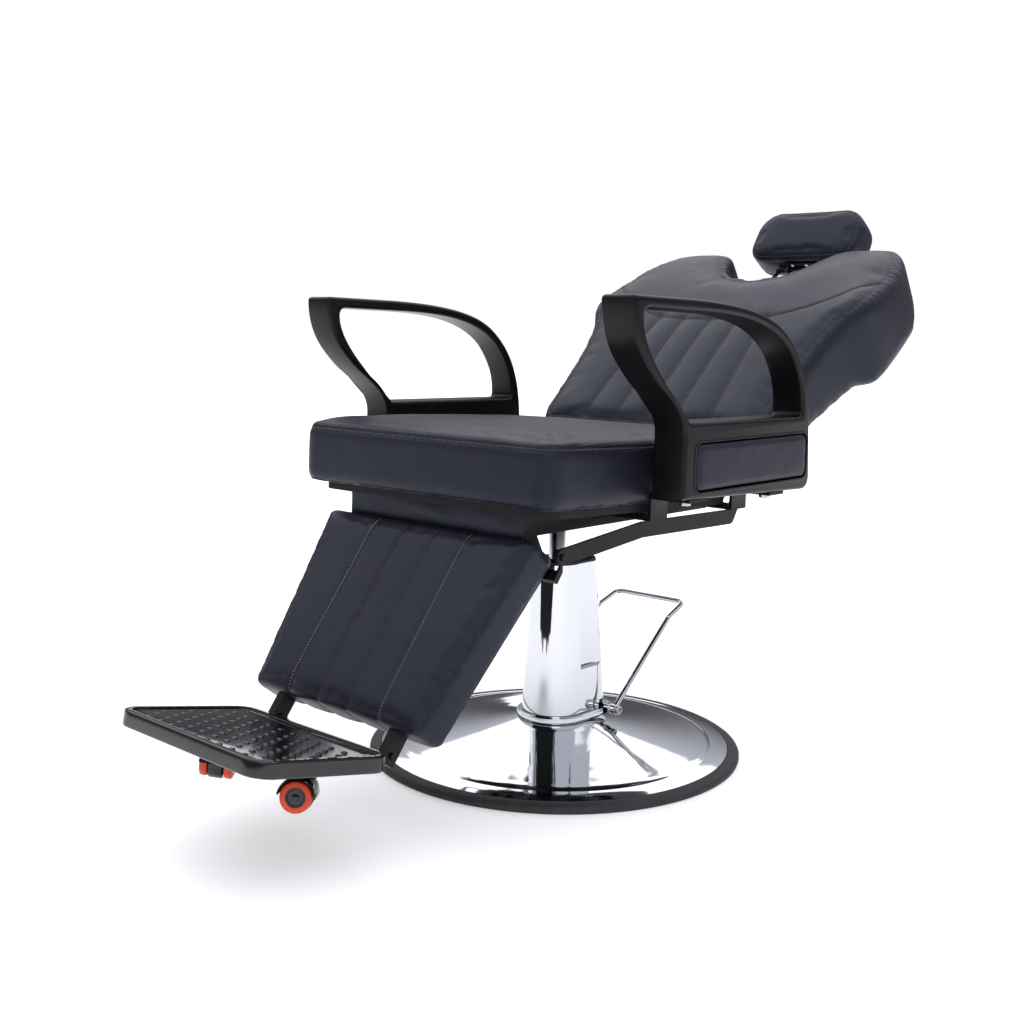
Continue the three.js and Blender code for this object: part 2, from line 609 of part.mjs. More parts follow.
// ---------------------------------------------------------------- legrest
// In the legrest's frame +Z runs up the pad, and -Y points out of its front.
function makeLegrest() {
  const leg = leaning(LEG_PIVOT, LEG_LEAN);
  const { top, bottom, front, rear, halfTop, halfBottom } = LEG_PAD;
  const padFace = outlineShape([
    [-halfBottom, bottom], [halfBottom, bottom], [halfTop, top], [-halfTop, top],
  ]);
  const { x: tubeX, wide, front: tubeFront, rear: tubeRear, end } = TUBE;
  const socketTop = -190;
  const channels = [-1, 1].map((s) =>
    block(
      s * tubeX - wide / 2 - GAP, s * tubeX + wide / 2 + GAP,
      tubeFront - GAP, rear + 5, bottom - 5, socketTop,
    ),
  );
  const pad = cut(sweptY(padFace, front, rear, { bevel: 8 }), ...channels);
  place("legrest_pad", pad, MAT.leather, leg);

  const boardRear = rear + GAP + 12;
  const boardFace = outlineShape([
    [-halfBottom + 12, bottom + 12], [halfBottom - 12, bottom + 12],
    [halfTop - 12, top - 10], [-halfTop + 12, top - 10],
  ]);
  place("legrest_board", sweptY(boardFace, rear + GAP, boardRear), MAT.wood, leg);

  for (const [side, s] of [["left", 1], ["right", -1]]) {
    const tube = cut(
      block(
        s * tubeX - wide / 2, s * tubeX + wide / 2, tubeFront, tubeRear, end, socketTop - GAP,
      ),
      bar([s * tubeX - 20, FOLD.y, FOLD.z], [s * tubeX + 20, FOLD.y, FOLD.z], 4.4, 16),
    );
    place(`footplate_tube_${side}`, tube, MAT.blackSteel, leg);
  }
  place("legrest_frame", legrestFrame(boardRear + GAP), MAT.blackSteel, leg);
  const flap = block(-178, 178, -278, -276, 394, 429);
  place("legrest_flap", flap, MAT.leather);
  return leg;
}

// Two straps and a crossbar behind the board, hinge cheeks with pins, and the link pins.
function legrestFrame(y0) {
  const cheek = outlineShape([
    [-9, 0], [-7, 7], [0, 10], [8, 8], [y0 + 9, -16], [y0 + 9, -56], [y0, -56], [y0, -30],
    [30, -28], [-5, -9],
  ]);
  const pieces = [block(-212, 212, y0, y0 + 9, -56, -40)];
  for (const s of [-1, 1]) {
    pieces.push(block(s * TUBE.x - 12, s * TUBE.x + 12, y0, y0 + 6, -280, -50));
    pieces.push(sweptX(cheek, s * 166 - 2, s * 166 + 2));
    pieces.push(bar([s * 132, 0, 0], [s * 167, 0, 0], 4.5, 16));
    const lug = outlineShape([
      [LEG_PIN.y - 9, LEG_PIN.z - 5], [LEG_PIN.y - 9, LEG_PIN.z + 7], [LEG_PIN.y + 6, LEG_PIN.z + 7],
      [y0 + 9, -38], [y0 + 9, -56], [y0, -56], [y0, LEG_PIN.z - 5],
    ]);
    pieces.push(sweptX(lug, s * 212.5 - 2, s * 212.5 + 2));
    pieces.push(bar(
      [s * 212, LEG_PIN.y, LEG_PIN.z], [s * 225, LEG_PIN.y, LEG_PIN.z], LEG_PIN.r, 16,
    ));
  }
  return join(...pieces);
}

// The flat bar under each side of the seat that makes the legrest follow the back.
function makeLinks() {
  const lean = LEG_LEAN * RAD;
  const frontY = LEG_PIVOT.y + LEG_PIN.y * Math.cos(lean) + LEG_PIN.z * Math.sin(lean);
  const frontZ = LEG_PIVOT.z - LEG_PIN.y * Math.sin(lean) + LEG_PIN.z * Math.cos(lean);
  const path = [[frontY, frontZ], [-70, 394], [158, 390], [CRANK.y, CRANK.z]];
  for (const [side, s] of [["left", 1], ["right", -1]]) {
    const [x0, x1] = [s * LINK.x - LINK.thick / 2, s * LINK.x + LINK.thick / 2];
    const pieces = path.map(([y, z]) => bar([x0, y, z], [x1, y, z], LINK.halfWide, 16));
    for (let i = 0; i + 1 < path.length; i += 1) pieces.push(strip(path[i], path[i + 1], x0, x1));
    const bores = [
      bar([x0 - 5, frontY, frontZ], [x1 + 5, frontY, frontZ], LEG_PIN.r + GAP, 20),
      bar([x0 - 5, CRANK.y, CRANK.z], [x1 + 5, CRANK.y, CRANK.z], CRANK.eyeBore, 20),
    ];
    place(`link_${side}`, cut(join(...pieces), ...bores), MAT.blackSteel);
  }
}

// A straight length of flat bar between two points of the YZ plane.
function strip([ya, za], [yb, zb], x0, x1) {
  const long = Math.hypot(yb - ya, zb - za);
  const shape = block(x0, x1, -long / 2, long / 2, -LINK.halfWide, LINK.halfWide);
  return shape.rotateX(Math.atan2(zb - za, yb - ya)).translate(0, (ya + yb) / 2, (za + zb) / 2);
}

// The gas strut that locks the back: a cylinder on the seat frame and a rod to the back board.
function makeStrut() {
  const { x, y, z, rearY, rearZ, pinR, eyeBore } = STRUT;
  const strut = new THREE.Group();
  strut.position.set(x, y, z);
  strut.rotation.x = Math.atan2(rearZ - z, rearY - y);
  chair.add(strut);
  const long = Math.hypot(rearY - y, rearZ - z);
  const barrelEnd = 136;
  const barrel = cut(
    join(block(-7, 7, -9, 16, -8, 8), bar([0, 12, 0], [0, barrelEnd, 0], 8, 20)),
    bar([-20, 0, 0], [20, 0, 0], pinR + GAP, 16),
    bar([0, 30, 0], [0, barrelEnd + 5, 0], 4.4, 16),
  );
  place("strut_cylinder", barrel, MAT.steel, strut);
  const tail = cut(
    join(
      bar([0, 70, 0], [0, long - 24, 0], 4, 14),
      block(4.5, 10, long - 30, long + 13, -13, 13),
      block(-6, 10, long - 32, long - 22, -8, 8),
    ),
    bar([2, long, 0], [20, long, 0], eyeBore, 20),
  );
  place("strut_rod", tail, MAT.chrome, strut);
}

// ---------------------------------------------------------------- footplate and casters
// In the footplate's frame the X axis is its fold line, and -Y runs forward along the tray.
function makeFootplate(leg) {
  const plate = new THREE.Group();
  plate.position.set(0, FOLD.y, FOLD.z);
  plate.rotation.x = FOLD.tilt * RAD;
  leg.add(plate);
  const { rear, long, halfWidth, top, bottom, corner } = TRAY;
  const midY = rear - long / 2;
  const outer = roundedRect(0, midY, 2 * halfWidth, long, corner);
  const inner = roundedRect(0, midY, 2 * halfWidth - 18, long - 18, corner - 9);
  const under = roundedRect(0, midY, 2 * halfWidth - 7, long - 7, corner - 3.5);
  const barX = CASTER.x;
  const notches = [-1, 1].map((s) => block(s * barX - 16, s * barX + 16, rear - 12, 5, bottom - 5, 1.5));
  const tray = cut(
    sweptZ(outer, bottom, top, { bevel: 2.5, steps: 1 }),
    sweptZ(inner, top - 2.5, top + 5),
    sweptZ(under, bottom - 5, 1.5),
    ...notches,
  );
  place("footplate_tray", tray, MAT.glossPlastic, plate);

  const [low, high] = [-12, 1.2];
  const pieces = [-55, -185].map((y) => block(-barX, barX, y - 9, y + 9, low, high));
  for (const s of [-1, 1]) {
    pieces.push(block(s * barX - 12, s * barX + 12, -222, -15, low, high));
    pieces.push(block(s * 107 - 2.5, s * 107 + 2.5, -40, 9, -9, high));
    pieces.push(bar([s * 105, 0, 0], [s * 129, 0, 0], 4, 16));
  }
  place("footplate_frame", join(...pieces), MAT.blackSteel, plate);
  for (const [side, s] of [["left", 1], ["right", -1]]) {
    makeCaster(side, s * CASTER.x, low - GAP, plate);
  }
}

function makeCaster(side, x, mountZ, plate) {
  const { y, trail, axleZ, wheelR, wheelWide, spacing } = CASTER;
  const caster = new THREE.Group();
  caster.position.set(x, y, 0);
  caster.rotation.z = CASTER_TURN[side] * RAD;
  plate.add(caster);
  const axle = [0, -trail, axleZ];
  const hoodR = wheelR + 4;
  const arch = cut(
    turnedX([[hoodR - 3, -22], [hoodR, -22], [hoodR, 22], [hoodR - 3, 22]], axle, 20),
    block(-30, 30, -trail - 40, -trail + 40, axleZ - 40, axleZ + 3),
  );
  const web = bar([-9.5, -trail, axleZ], [9.5, -trail, axleZ], 9, 20);
  const neck = block(-9.5, 9.5, -trail - 8, -trail + 9, axleZ, axleZ + hoodR - 1);
  const stem = bar([0, 0, axleZ + 10], [0, 0, mountZ], 6, 16);
  const flange = bar([0, 0, mountZ - 4], [0, 0, mountZ], 13, 16);
  const rib = block(-9.5, 9.5, -trail, 5, axleZ + 8, axleZ + hoodR + 4);
  const bore = bar([-20, -trail, axleZ], [20, -trail, axleZ], 3.3, 16);
  const body = cut(join(arch, web, neck, stem, flange, rib), bore);
  place(`caster_hood_${side}`, body, MAT.glossPlastic, caster);

  const hubR = 12.5;
  const half = wheelWide / 2;
  const hubs = [-1, 1].map((s) => {
    const mid = (s * spacing) / 2;
    return bar([mid - half, -trail, axleZ], [mid + half, -trail, axleZ], hubR, 20);
  });
  const shaft = bar([-spacing / 2, -trail, axleZ], [spacing / 2, -trail, axleZ], 3, 16);
  place(`caster_hubs_${side}`, join(...hubs, shaft), MAT.glossPlastic, caster);
  for (const [where, s] of [["a", -1], ["b", 1]]) {
    const mid = (s * spacing) / 2;
    const inner = hubR + GAP;
    const ring = turnedX([
      [inner, mid - half], [wheelR - 1.5, mid - half], [wheelR, mid - half + 2],
      [wheelR, mid + half - 2], [wheelR - 1.5, mid + half], [inner, mid + half],
    ], axle, 24);
    place(`caster_tyre_${side}_${where}`, ring, MAT.redTyre, caster);
  }
}

makeBase();
makeColumn();
makePump();
makePedal();
makeSeat();
makeFrame();
makeArmBrackets();
makeArms();
makeReclineLever();
makeHeadrest(makeBack());
makeFootplate(makeLegrest());
makeLinks();
makeStrut();

export default chair;
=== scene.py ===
"""Looks of a hydraulic barber chair: padded leatherette, chrome base, moulded arms, glossy footplate."""

import json
import math

import bmesh
import bpy
import numpy as np
from mathutils import Matrix, Vector, noise
from mathutils.bvhtree import BVHTree
from mathutils.kdtree import KDTree


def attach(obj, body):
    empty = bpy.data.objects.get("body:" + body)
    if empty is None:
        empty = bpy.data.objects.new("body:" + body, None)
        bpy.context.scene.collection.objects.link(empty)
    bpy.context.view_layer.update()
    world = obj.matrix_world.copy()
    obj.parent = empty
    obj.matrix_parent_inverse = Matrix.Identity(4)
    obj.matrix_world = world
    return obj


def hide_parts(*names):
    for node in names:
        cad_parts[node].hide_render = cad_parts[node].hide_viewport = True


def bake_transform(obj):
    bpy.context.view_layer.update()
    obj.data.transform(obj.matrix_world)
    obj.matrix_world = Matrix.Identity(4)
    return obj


bl_info = {
    "name": "Barber chair",
    "version": (1, 0, 0),
    "blender": (4, 5, 0),
    "location": "View3D > Sidebar > Chair",
    "description": "Builds the visible pieces of a hydraulic barber chair around its packed frame",
    "category": "Object",
}

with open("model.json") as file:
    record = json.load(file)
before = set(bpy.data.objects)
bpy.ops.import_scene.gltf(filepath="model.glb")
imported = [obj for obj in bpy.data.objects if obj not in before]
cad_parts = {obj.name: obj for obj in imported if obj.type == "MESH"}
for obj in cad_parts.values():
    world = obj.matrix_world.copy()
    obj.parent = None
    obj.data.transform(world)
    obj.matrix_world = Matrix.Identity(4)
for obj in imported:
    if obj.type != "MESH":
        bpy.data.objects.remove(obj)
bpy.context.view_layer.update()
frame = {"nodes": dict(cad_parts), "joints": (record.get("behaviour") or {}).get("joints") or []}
MM = 0.001


# ---------------------------------------------------------------- places
def turn_x(degrees):
    return Matrix.Rotation(math.radians(degrees), 4, "X")


def joint_place(name):
    """Where a joint's pivot is, in metres."""
    return Vector(next(j["pos_m"] for j in frame["joints"] if j["name"] == name))


SEAT = Matrix.Translation((0, -0.305, 0.444)) @ turn_x(-2.2)
BACK = Matrix.Translation(joint_place("recline")) @ turn_x(-56.6)
LEG = Matrix.Translation(joint_place("legrest_swing")) @ turn_x(-37.2)
PLATE = Matrix.Translation(joint_place("footplate_fold")) @ turn_x(-11.8)
HEAD = Matrix.Translation(joint_place("headrest_tilt")) @ turn_x(-32.3)
LEVER_SHAFT = joint_place("pump_stroke")
CASTER_TURN = {"left": -47.2, "right": 42.8}
SIDES = (("left", 1), ("right", -1))


# ---------------------------------------------------------------- shader maths
class Sock:
    """A socket or a number that arithmetic operators can be used on."""

    def __init__(self, look, value):
        self.look = look
        self.value = value

    def _math(self, operation, *others):
        values = [self.value] + [o.value if isinstance(o, Sock) else o for o in others]
        made = self.look.node("ShaderNodeMath", {"operation": operation}, dict(enumerate(values)))
        return Sock(self.look, made.outputs[0])

    def __add__(self, other):
        return self._math("ADD", other)

    __radd__ = __add__

    def __mul__(self, other):
        return self._math("MULTIPLY", other)

    __rmul__ = __mul__

    def smooth(self, low, high):
        """0 below low, 1 above high, and a smooth step between."""
        made = self.look.node(
            "ShaderNodeMapRange",
            {"interpolation_type": "SMOOTHSTEP"},
            {"Value": self.value, "From Min": low, "From Max": high},
        )
        return Sock(self.look, made.outputs[0])


class Look:
    """One material and the nodes that make it."""

    def __init__(self, name, **plain):
        self.material = bpy.data.materials.new(name)
        self.material.use_nodes = True
        self.tree = self.material.node_tree
        self.shader = self.tree.nodes["Principled BSDF"]
        for socket, value in plain.items():
            self.shader.inputs[socket.replace("_", " ")].default_value = value
        self.place = self.node("ShaderNodeTexCoord", {}, {}).outputs["Object"]

    def node(self, kind, settings, values):
        made = self.tree.nodes.new(kind)
        for key, value in settings.items():
            setattr(made, key, value)
        for key, value in values.items():
            value = value.value if isinstance(value, Sock) else value
            if isinstance(value, bpy.types.NodeSocket):
                self.tree.links.new(value, made.inputs[key])
            else:
                made.inputs[key].default_value = value
        return made

    def noise(self, scale, detail=3.0, rough=0.55, stretch=None):
        place = self.place
        if stretch:
            place = self.node("ShaderNodeMapping", {}, {"Vector": place, "Scale": stretch}).outputs[0]
        values = {"Vector": place, "Scale": scale, "Detail": detail, "Roughness": rough}
        return Sock(self, self.node("ShaderNodeTexNoise", {}, values).outputs[0])

    def cells(self, scale):
        """Distance to the edges between cells."""
        values = {"Vector": self.place, "Scale": scale}
        made = self.node("ShaderNodeTexVoronoi", {"feature": "DISTANCE_TO_EDGE"}, values)
        return Sock(self, made.outputs["Distance"])

    def colour(self, mask, dark, light):
        made = self.node("ShaderNodeMix", {"data_type": "RGBA"}, {"Factor": mask, 6: (*dark, 1), 7: (*light, 1)})
        self.tree.links.new(made.outputs[2], self.shader.inputs["Base Color"])

    def roughness(self, value):
        self.tree.links.new(value.value, self.shader.inputs["Roughness"])

    def bump(self, height, strength, distance):
        values = {"Height": height, "Strength": strength, "Distance": distance}
        made = self.node("ShaderNodeBump", {}, values)
        self.tree.links.new(made.outputs[0], self.shader.inputs["Normal"])


def leatherette(name, dark, light, gloss):
    """Soft vinyl: fine pebbled grain, faint creases, and a satin sheen that varies a little."""
    look = Look(name, Specular_IOR_Level=0.30, Specular_Tint=(0.76, 0.81, 1.0, 1.0))
    pebbles = look.cells(950).smooth(0.0, 0.28)
    creases = look.noise(42, 4, 0.6)
    clouds = look.noise(7, 2)
    look.colour(clouds.smooth(0.3, 0.7), dark, light)
    look.roughness(clouds * 0.08 + creases * 0.10 + (gloss - 0.09))
    look.bump(pebbles * 0.35 + creases * 0.9, 0.22, 0.0006)
    return look.material


def moulded(name, dark, light, rough, grain=620, depth=0.00012, shine=0.5):
    """Moulded plastic or powder coat: fine orange peel and slightly uneven gloss."""
    look = Look(name, Specular_IOR_Level=shine)
    peel = look.noise(grain, 3)
    patches = look.noise(11, 3)
    rub = look.noise(90, 5, 0.7, stretch=(1, 0.25, 1)).smooth(0.55, 0.8)
    look.colour(patches.smooth(0.3, 0.75), dark, light)
    look.roughness(patches * 0.10 + rub * 0.08 + (rough - 0.06))
    look.bump(peel, 0.35, depth)
    return look.material


def plated(name, tint, rough, streaks=0.02):
    """Bright plating with faint polishing marks."""
    look = Look(name, Metallic=1.0)
    cloud = look.noise(6, 2)
    marks = look.noise(160, 4, 0.6, stretch=(1, 1, 0.06))
    look.colour(cloud, [c * 0.97 for c in tint], tint)
    look.roughness(marks * streaks + cloud * 0.015 + rough)
    look.bump(look.noise(14, 1), 0.02, 0.0004)
    return look.material


def rubber(name, dark, light, rough=0.62):
    """Rubber or dark lining: dusty, with a very fine grain."""
    look = Look(name, Specular_IOR_Level=0.4)
    dust = look.noise(60, 5, 0.65)
    look.colour(dust.smooth(0.35, 0.75), dark, light)
    look.roughness(dust * 0.18 + (rough - 0.08))
    look.bump(look.noise(900, 2) + dust * 0.5, 0.3, 0.00015)
    return look.material


def woven(name, colour):
    """Thread: a twisted cord's fine ribs."""
    look = Look(name, Sheen_Weight=0.2)
    fibre = look.noise(1500, 2)
    look.colour(fibre, [c * 0.7 for c in colour], colour)
    look.roughness(fibre * 0.2 + 0.55)
    look.bump(fibre, 0.4, 0.0002)
    return look.material


LOOKS = {}


def make_looks(settings):
    vinyl = tuple(settings.vinyl)
    LOOKS.update(
        vinyl=leatherette("vinyl", [c * 0.86 for c in vinyl], vinyl, 0.43),
        vinyl_legrest=leatherette("vinyl_legrest", [c * 0.9 for c in vinyl], [c * 1.12 for c in vinyl], 0.40),
        seam_dark=woven("seam_thread_dark", (0.010, 0.010, 0.013)),
        seam_light=woven("seam_thread_light", (0.34, 0.34, 0.36)),
        arm=moulded("arm_plastic", (0.003, 0.003, 0.0034), (0.005, 0.005, 0.0056), 0.33, shine=0.2),
        gloss=moulded("gloss_plastic", (0.005, 0.005, 0.006), (0.008, 0.008, 0.009), 0.13, 300, 0.00003),
        black_steel=moulded("black_steel", (0.003, 0.003, 0.0035), (0.006, 0.006, 0.0066), 0.40, shine=0.2),
        chrome=plated("chrome", tuple(settings.chrome), 0.035),
        rod_steel=plated("ground_steel", (0.46, 0.48, 0.52), 0.16, 0.08),
        steel=plated("zinc_steel", (0.55, 0.55, 0.56), 0.26, 0.1),
        rubber=rubber("rim_rubber", (0.020, 0.021, 0.023), (0.034, 0.035, 0.038)),
        tyre=rubber("red_tyre", (0.62, 0.05, 0.015), (0.78, 0.075, 0.02), 0.42),
        lining=rubber("black_lining", (0.006, 0.006, 0.007), (0.012, 0.012, 0.014), 0.75),
    )


# ---------------------------------------------------------------- mesh tools
def put(obj, body, look, nodes=()):
    """Gives a finished mesh its material and body, and hides the CAD nodes it stands for."""
    obj.data.materials.clear()
    obj.data.materials.append(LOOKS[look])
    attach(obj, body)
    if nodes:
        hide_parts(*nodes)


def mesh_object(name, bm, matrix=None, crease=35, scale=MM):
    """A finished object from a bmesh drawn in millimetres in a piece's own frame."""
    bmesh.ops.scale(bm, vec=(scale,) * 3, verts=bm.verts)
    if matrix is not None:
        bmesh.ops.transform(bm, matrix=matrix, verts=bm.verts)
    bmesh.ops.remove_doubles(bm, verts=bm.verts, dist=1e-6)
    bmesh.ops.recalc_face_normals(bm, faces=bm.faces)
    mesh = bpy.data.meshes.new(name)
    bm.to_mesh(mesh)
    bm.free()
    mesh.shade_smooth()
    mesh.set_sharp_from_angle(angle=math.radians(crease))
    obj = bpy.data.objects.new(name, mesh)
    bpy.context.scene.collection.objects.link(obj)
    return obj


def apply_modifiers(obj):
    """Bakes an object's modifiers into its mesh."""
    graph = bpy.context.evaluated_depsgraph_get()
    made = bpy.data.meshes.new_from_object(obj.evaluated_get(graph), depsgraph=graph)
    old = obj.data
    obj.modifiers.clear()
    obj.data = made
    made.name = obj.name
    if old.users == 0:
        bpy.data.meshes.remove(old)


def soften(obj, width, segments=3, angle=35):
    """Rounds an object's sharp edges."""
    bevel = obj.modifiers.new("Edges", "BEVEL")
    bevel.width = width * MM
    bevel.segments = segments
    bevel.limit_method = "ANGLE"
    bevel.angle_limit = math.radians(angle)
    bevel.harden_normals = True
    apply_modifiers(obj)


def lathe(profile, steps=96, centre=(0, 0, 0)):
    """A closed ring or disc spun about Z from its [radius, height] outline in millimetres."""
    bm = bmesh.new()
    verts = [bm.verts.new((r, 0, z)) for r, z in profile]
    edges = [bm.edges.new(pair) for pair in zip(verts, verts[1:])]
    if profile[0][0] > 0:
        edges.append(bm.edges.new((verts[-1], verts[0])))
    bmesh.ops.spin(
        bm, geom=verts + edges, cent=(0, 0, 0), axis=(0, 0, 1), dvec=(0, 0, 0),
        angle=math.tau, steps=steps, use_merge=True, use_duplicate=False,
    )
    bmesh.ops.remove_doubles(bm, verts=bm.verts, dist=1e-4)
    bmesh.ops.translate(bm, vec=centre, verts=bm.verts)
    return bm


def rounded(points, radius, steps=6):
    """Points along a bent line whose corners are rounded to a radius."""
    line = [Vector(p) for p in points]
    out = [line[0]]
    for before, corner, after in zip(line, line[1:], line[2:]):
        a, b = (before - corner).normalized(), (after - corner).normalized()
        half = a.angle(b) / 2
        cut = min(radius / math.tan(half), (before - corner).length * 0.49, (after - corner).length * 0.49)
        p, q = corner + a * cut, corner + b * cut
        for i in range(steps + 1):
            t = i / steps
            out.append(p * (1 - t) ** 2 + corner * 2 * t * (1 - t) + q * t * t)
    return out + [line[-1]]


def pipe(name, points, radius, matrix=None, sides=12, cap=True):
    """A round rod along points, all in millimetres."""
    curve = bpy.data.curves.new(name, "CURVE")
    curve.dimensions = "3D"
    curve.bevel_depth = radius
    curve.bevel_resolution = sides // 4
    curve.use_fill_caps = cap
    spline = curve.splines.new("POLY")
    spline.points.add(len(points) - 1)
    for point, place in zip(spline.points, points):
        point.co = (*place, 1)
    return curve_mesh(name, curve, matrix)


def curve_mesh(name, curve, matrix=None, crease=35):
    """A curve turned into a finished mesh object."""
    holder = bpy.data.objects.new(name + "_line", curve)
    bpy.context.scene.collection.objects.link(holder)
    graph = bpy.context.evaluated_depsgraph_get()
    mesh = bpy.data.meshes.new_from_object(holder.evaluated_get(graph), depsgraph=graph)
    bm = bmesh.new()
    bm.from_mesh(mesh)
    bpy.data.objects.remove(holder)
    bpy.data.curves.remove(curve)
    bpy.data.meshes.remove(mesh)
    bmesh.ops.remove_doubles(bm, verts=bm.verts, dist=1e-3)
    return mesh_object(name, bm, matrix, crease)


def bezier_loop(curve, knots):
    """A closed spline. Each knot is (point, handle towards the last, handle towards the next)."""
    spline = curve.splines.new("BEZIER")
    spline.bezier_points.add(len(knots) - 1)
    spline.use_cyclic_u = True
    spline.resolution_u = 14
    for knot, (place, left, right) in zip(spline.bezier_points, knots):
        knot.handle_left_type = knot.handle_right_type = "FREE"
        knot.co, knot.handle_left, knot.handle_right = [(*p, 0) for p in (place, left, right)]


def slab(name, loops, thick, edge, matrix, crease=35, steps=3):
    """A flat outline with holes, given a thickness and rounded edges. It is centred on its plane."""
    curve = bpy.data.curves.new(name, "CURVE")
    curve.dimensions = "2D"
    curve.fill_mode = "BOTH"
    curve.extrude = thick / 2 - edge
    curve.bevel_depth = edge
    curve.bevel_resolution = steps
    curve.offset = -edge
    for knots in loops:
        bezier_loop(curve, knots)
    return curve_mesh(name, curve, matrix, crease)


def corner_knots(points, radii):
    """Knots for a polygon whose corners are rounded, one radius for each corner."""
    knots = []
    count = len(points)
    for i in range(count):
        p0, p1, p2 = (Vector(points[(i + k) % count]) for k in (-1, 0, 1))
        a, b = (p0 - p1).normalized(), (p2 - p1).normalized()
        cut = radii[i] / math.tan(a.angle(b) / 2)
        p, q = p1 + a * cut, p1 + b * cut
        knots.append((p, p + a * 0.01, p - a * cut * 0.552))
        knots.append((q, q - b * cut * 0.552, q + b * 0.01))
    return knots


def rect_knots(cx, cy, wide, high, radius):
    x, y = wide / 2, high / 2
    corners = [(cx - x, cy - y), (cx + x, cy - y), (cx + x, cy + y), (cx - x, cy + y)]
    return corner_knots(corners, [radius] * 4)


def copy_node(node, name=None):
    """A merged copy of a CAD node's mesh, with its flat faces joined."""
    bm = bmesh.new()
    bm.from_mesh(frame["nodes"][node].data)
    bmesh.ops.remove_doubles(bm, verts=bm.verts, dist=2e-6)
    bmesh.ops.dissolve_limit(
        bm, angle_limit=math.radians(1), verts=bm.verts, edges=bm.edges, use_dissolve_boundaries=False,
    )
    return mesh_object(name or node + "_finish", bm, scale=1)


def refine(look, body, width, *nodes, segments=2):
    """CAD nodes whose own shape is right, with their edges broken."""
    for node in nodes:
        obj = copy_node(node)
        soften(obj, width, segments)
        put(obj, body, look, [node])


# ---------------------------------------------------------------- padding
def verts_of(obj):
    flat = np.empty(len(obj.data.vertices) * 3, np.float32)
    obj.data.vertices.foreach_get("co", flat)
    return flat.reshape(-1, 3).astype(float)


def set_verts(obj, places):
    obj.data.vertices.foreach_set("co", places.astype(np.float32).ravel())
    obj.data.update()


def normals_of(obj):
    flat = np.empty(len(obj.data.vertices) * 3, np.float32)
    obj.data.vertices.foreach_get("normal", flat)
    return flat.reshape(-1, 3).astype(float)


def in_frame(places, matrix):
    """World metres to a piece's own millimetres."""
    back = np.array(matrix.inverted())
    return (places @ back[:3, :3].T + back[:3, 3]) / MM


def out_of_frame(places, matrix):
    m = np.array(matrix)
    return (places * MM) @ m[:3, :3].T + m[:3, 3]


def remesh(obj, size, smooth):
    """Even quads over the whole surface, with the edges rounded by smoothing."""
    voxels = obj.modifiers.new("Even", "REMESH")
    voxels.mode = "VOXEL"
    voxels.voxel_size = size * MM
    apply_modifiers(obj)
    iron(obj, smooth)


def iron(obj, times):
    """Evens out lumps, and rounds the edges a little."""
    even = obj.modifiers.new("Iron", "SMOOTH")
    even.factor = 0.5
    even.iterations = times
    apply_modifiers(obj)


def inflate(obj, cap, pressure=4.0, frames=20):
    """Blows a closed skin up with cloth pressure, and lets no point move further than cap millimetres.
    Where the cloth would shrink, the foam under it holds it out."""
    start, outward = verts_of(obj), normals_of(obj)
    cloth = obj.modifiers.new("Fill", "CLOTH")
    cloth.settings.quality = 5
    cloth.settings.use_pressure = True
    cloth.settings.uniform_pressure_force = pressure
    cloth.settings.effector_weights.gravity = 0
    cloth.point_cache.frame_start = 1
    cloth.point_cache.frame_end = frames
    scene = bpy.context.scene
    for number in range(1, frames + 1):
        scene.frame_set(number)
    graph = bpy.context.evaluated_depsgraph_get()
    shaped = obj.evaluated_get(graph).to_mesh()
    end = np.array([v.co for v in shaped.vertices], float)
    obj.evaluated_get(graph).to_mesh_clear()
    obj.modifiers.clear()
    scene.frame_set(1)
    move = end - start
    far = np.linalg.norm(move, axis=1, keepdims=True)
    limit = cap * MM
    move *= np.where(far > 1e-9, limit * np.tanh(far / limit) / np.maximum(far, 1e-9), 0)
    inward = np.minimum((move * outward).sum(axis=1, keepdims=True), 0)
    move -= 0.85 * inward * outward
    set_verts(obj, start + move)


def subdivide(obj):
    skin = obj.modifiers.new("Skin", "SUBSURF")
    skin.levels = skin.render_levels = 1
    apply_modifiers(obj)


def shift(obj, matrix, moves):
    """Moves points by a vector field worked out in the piece's own frame."""
    local = in_frame(verts_of(obj), matrix)
    normal = normals_of(obj) @ np.array(matrix.inverted())[:3, :3].T
    set_verts(obj, out_of_frame(local + moves(local, normal), matrix))


def swell(obj, amount):
    """Moves the whole surface outwards by an even amount."""
    set_verts(obj, verts_of(obj) + amount * MM * normals_of(obj))


def waves(places, size, seed):
    """Smooth random heights, about -1 to 1, that repeat on every run."""
    return np.array([noise.noise(Vector(p) / size + Vector((seed, seed * 1.7, 0))) for p in places])


def spread_points(line, step):
    """Points every step along a bent line."""
    line = [Vector(p) for p in line]
    out = []
    carry = 0.0
    for a, b in zip(line, line[1:]):
        long = (b - a).length
        t = carry
        while t < long:
            out.append(a.lerp(b, t / long))
            t += step
        carry = t - long
    return out + [line[-1]]


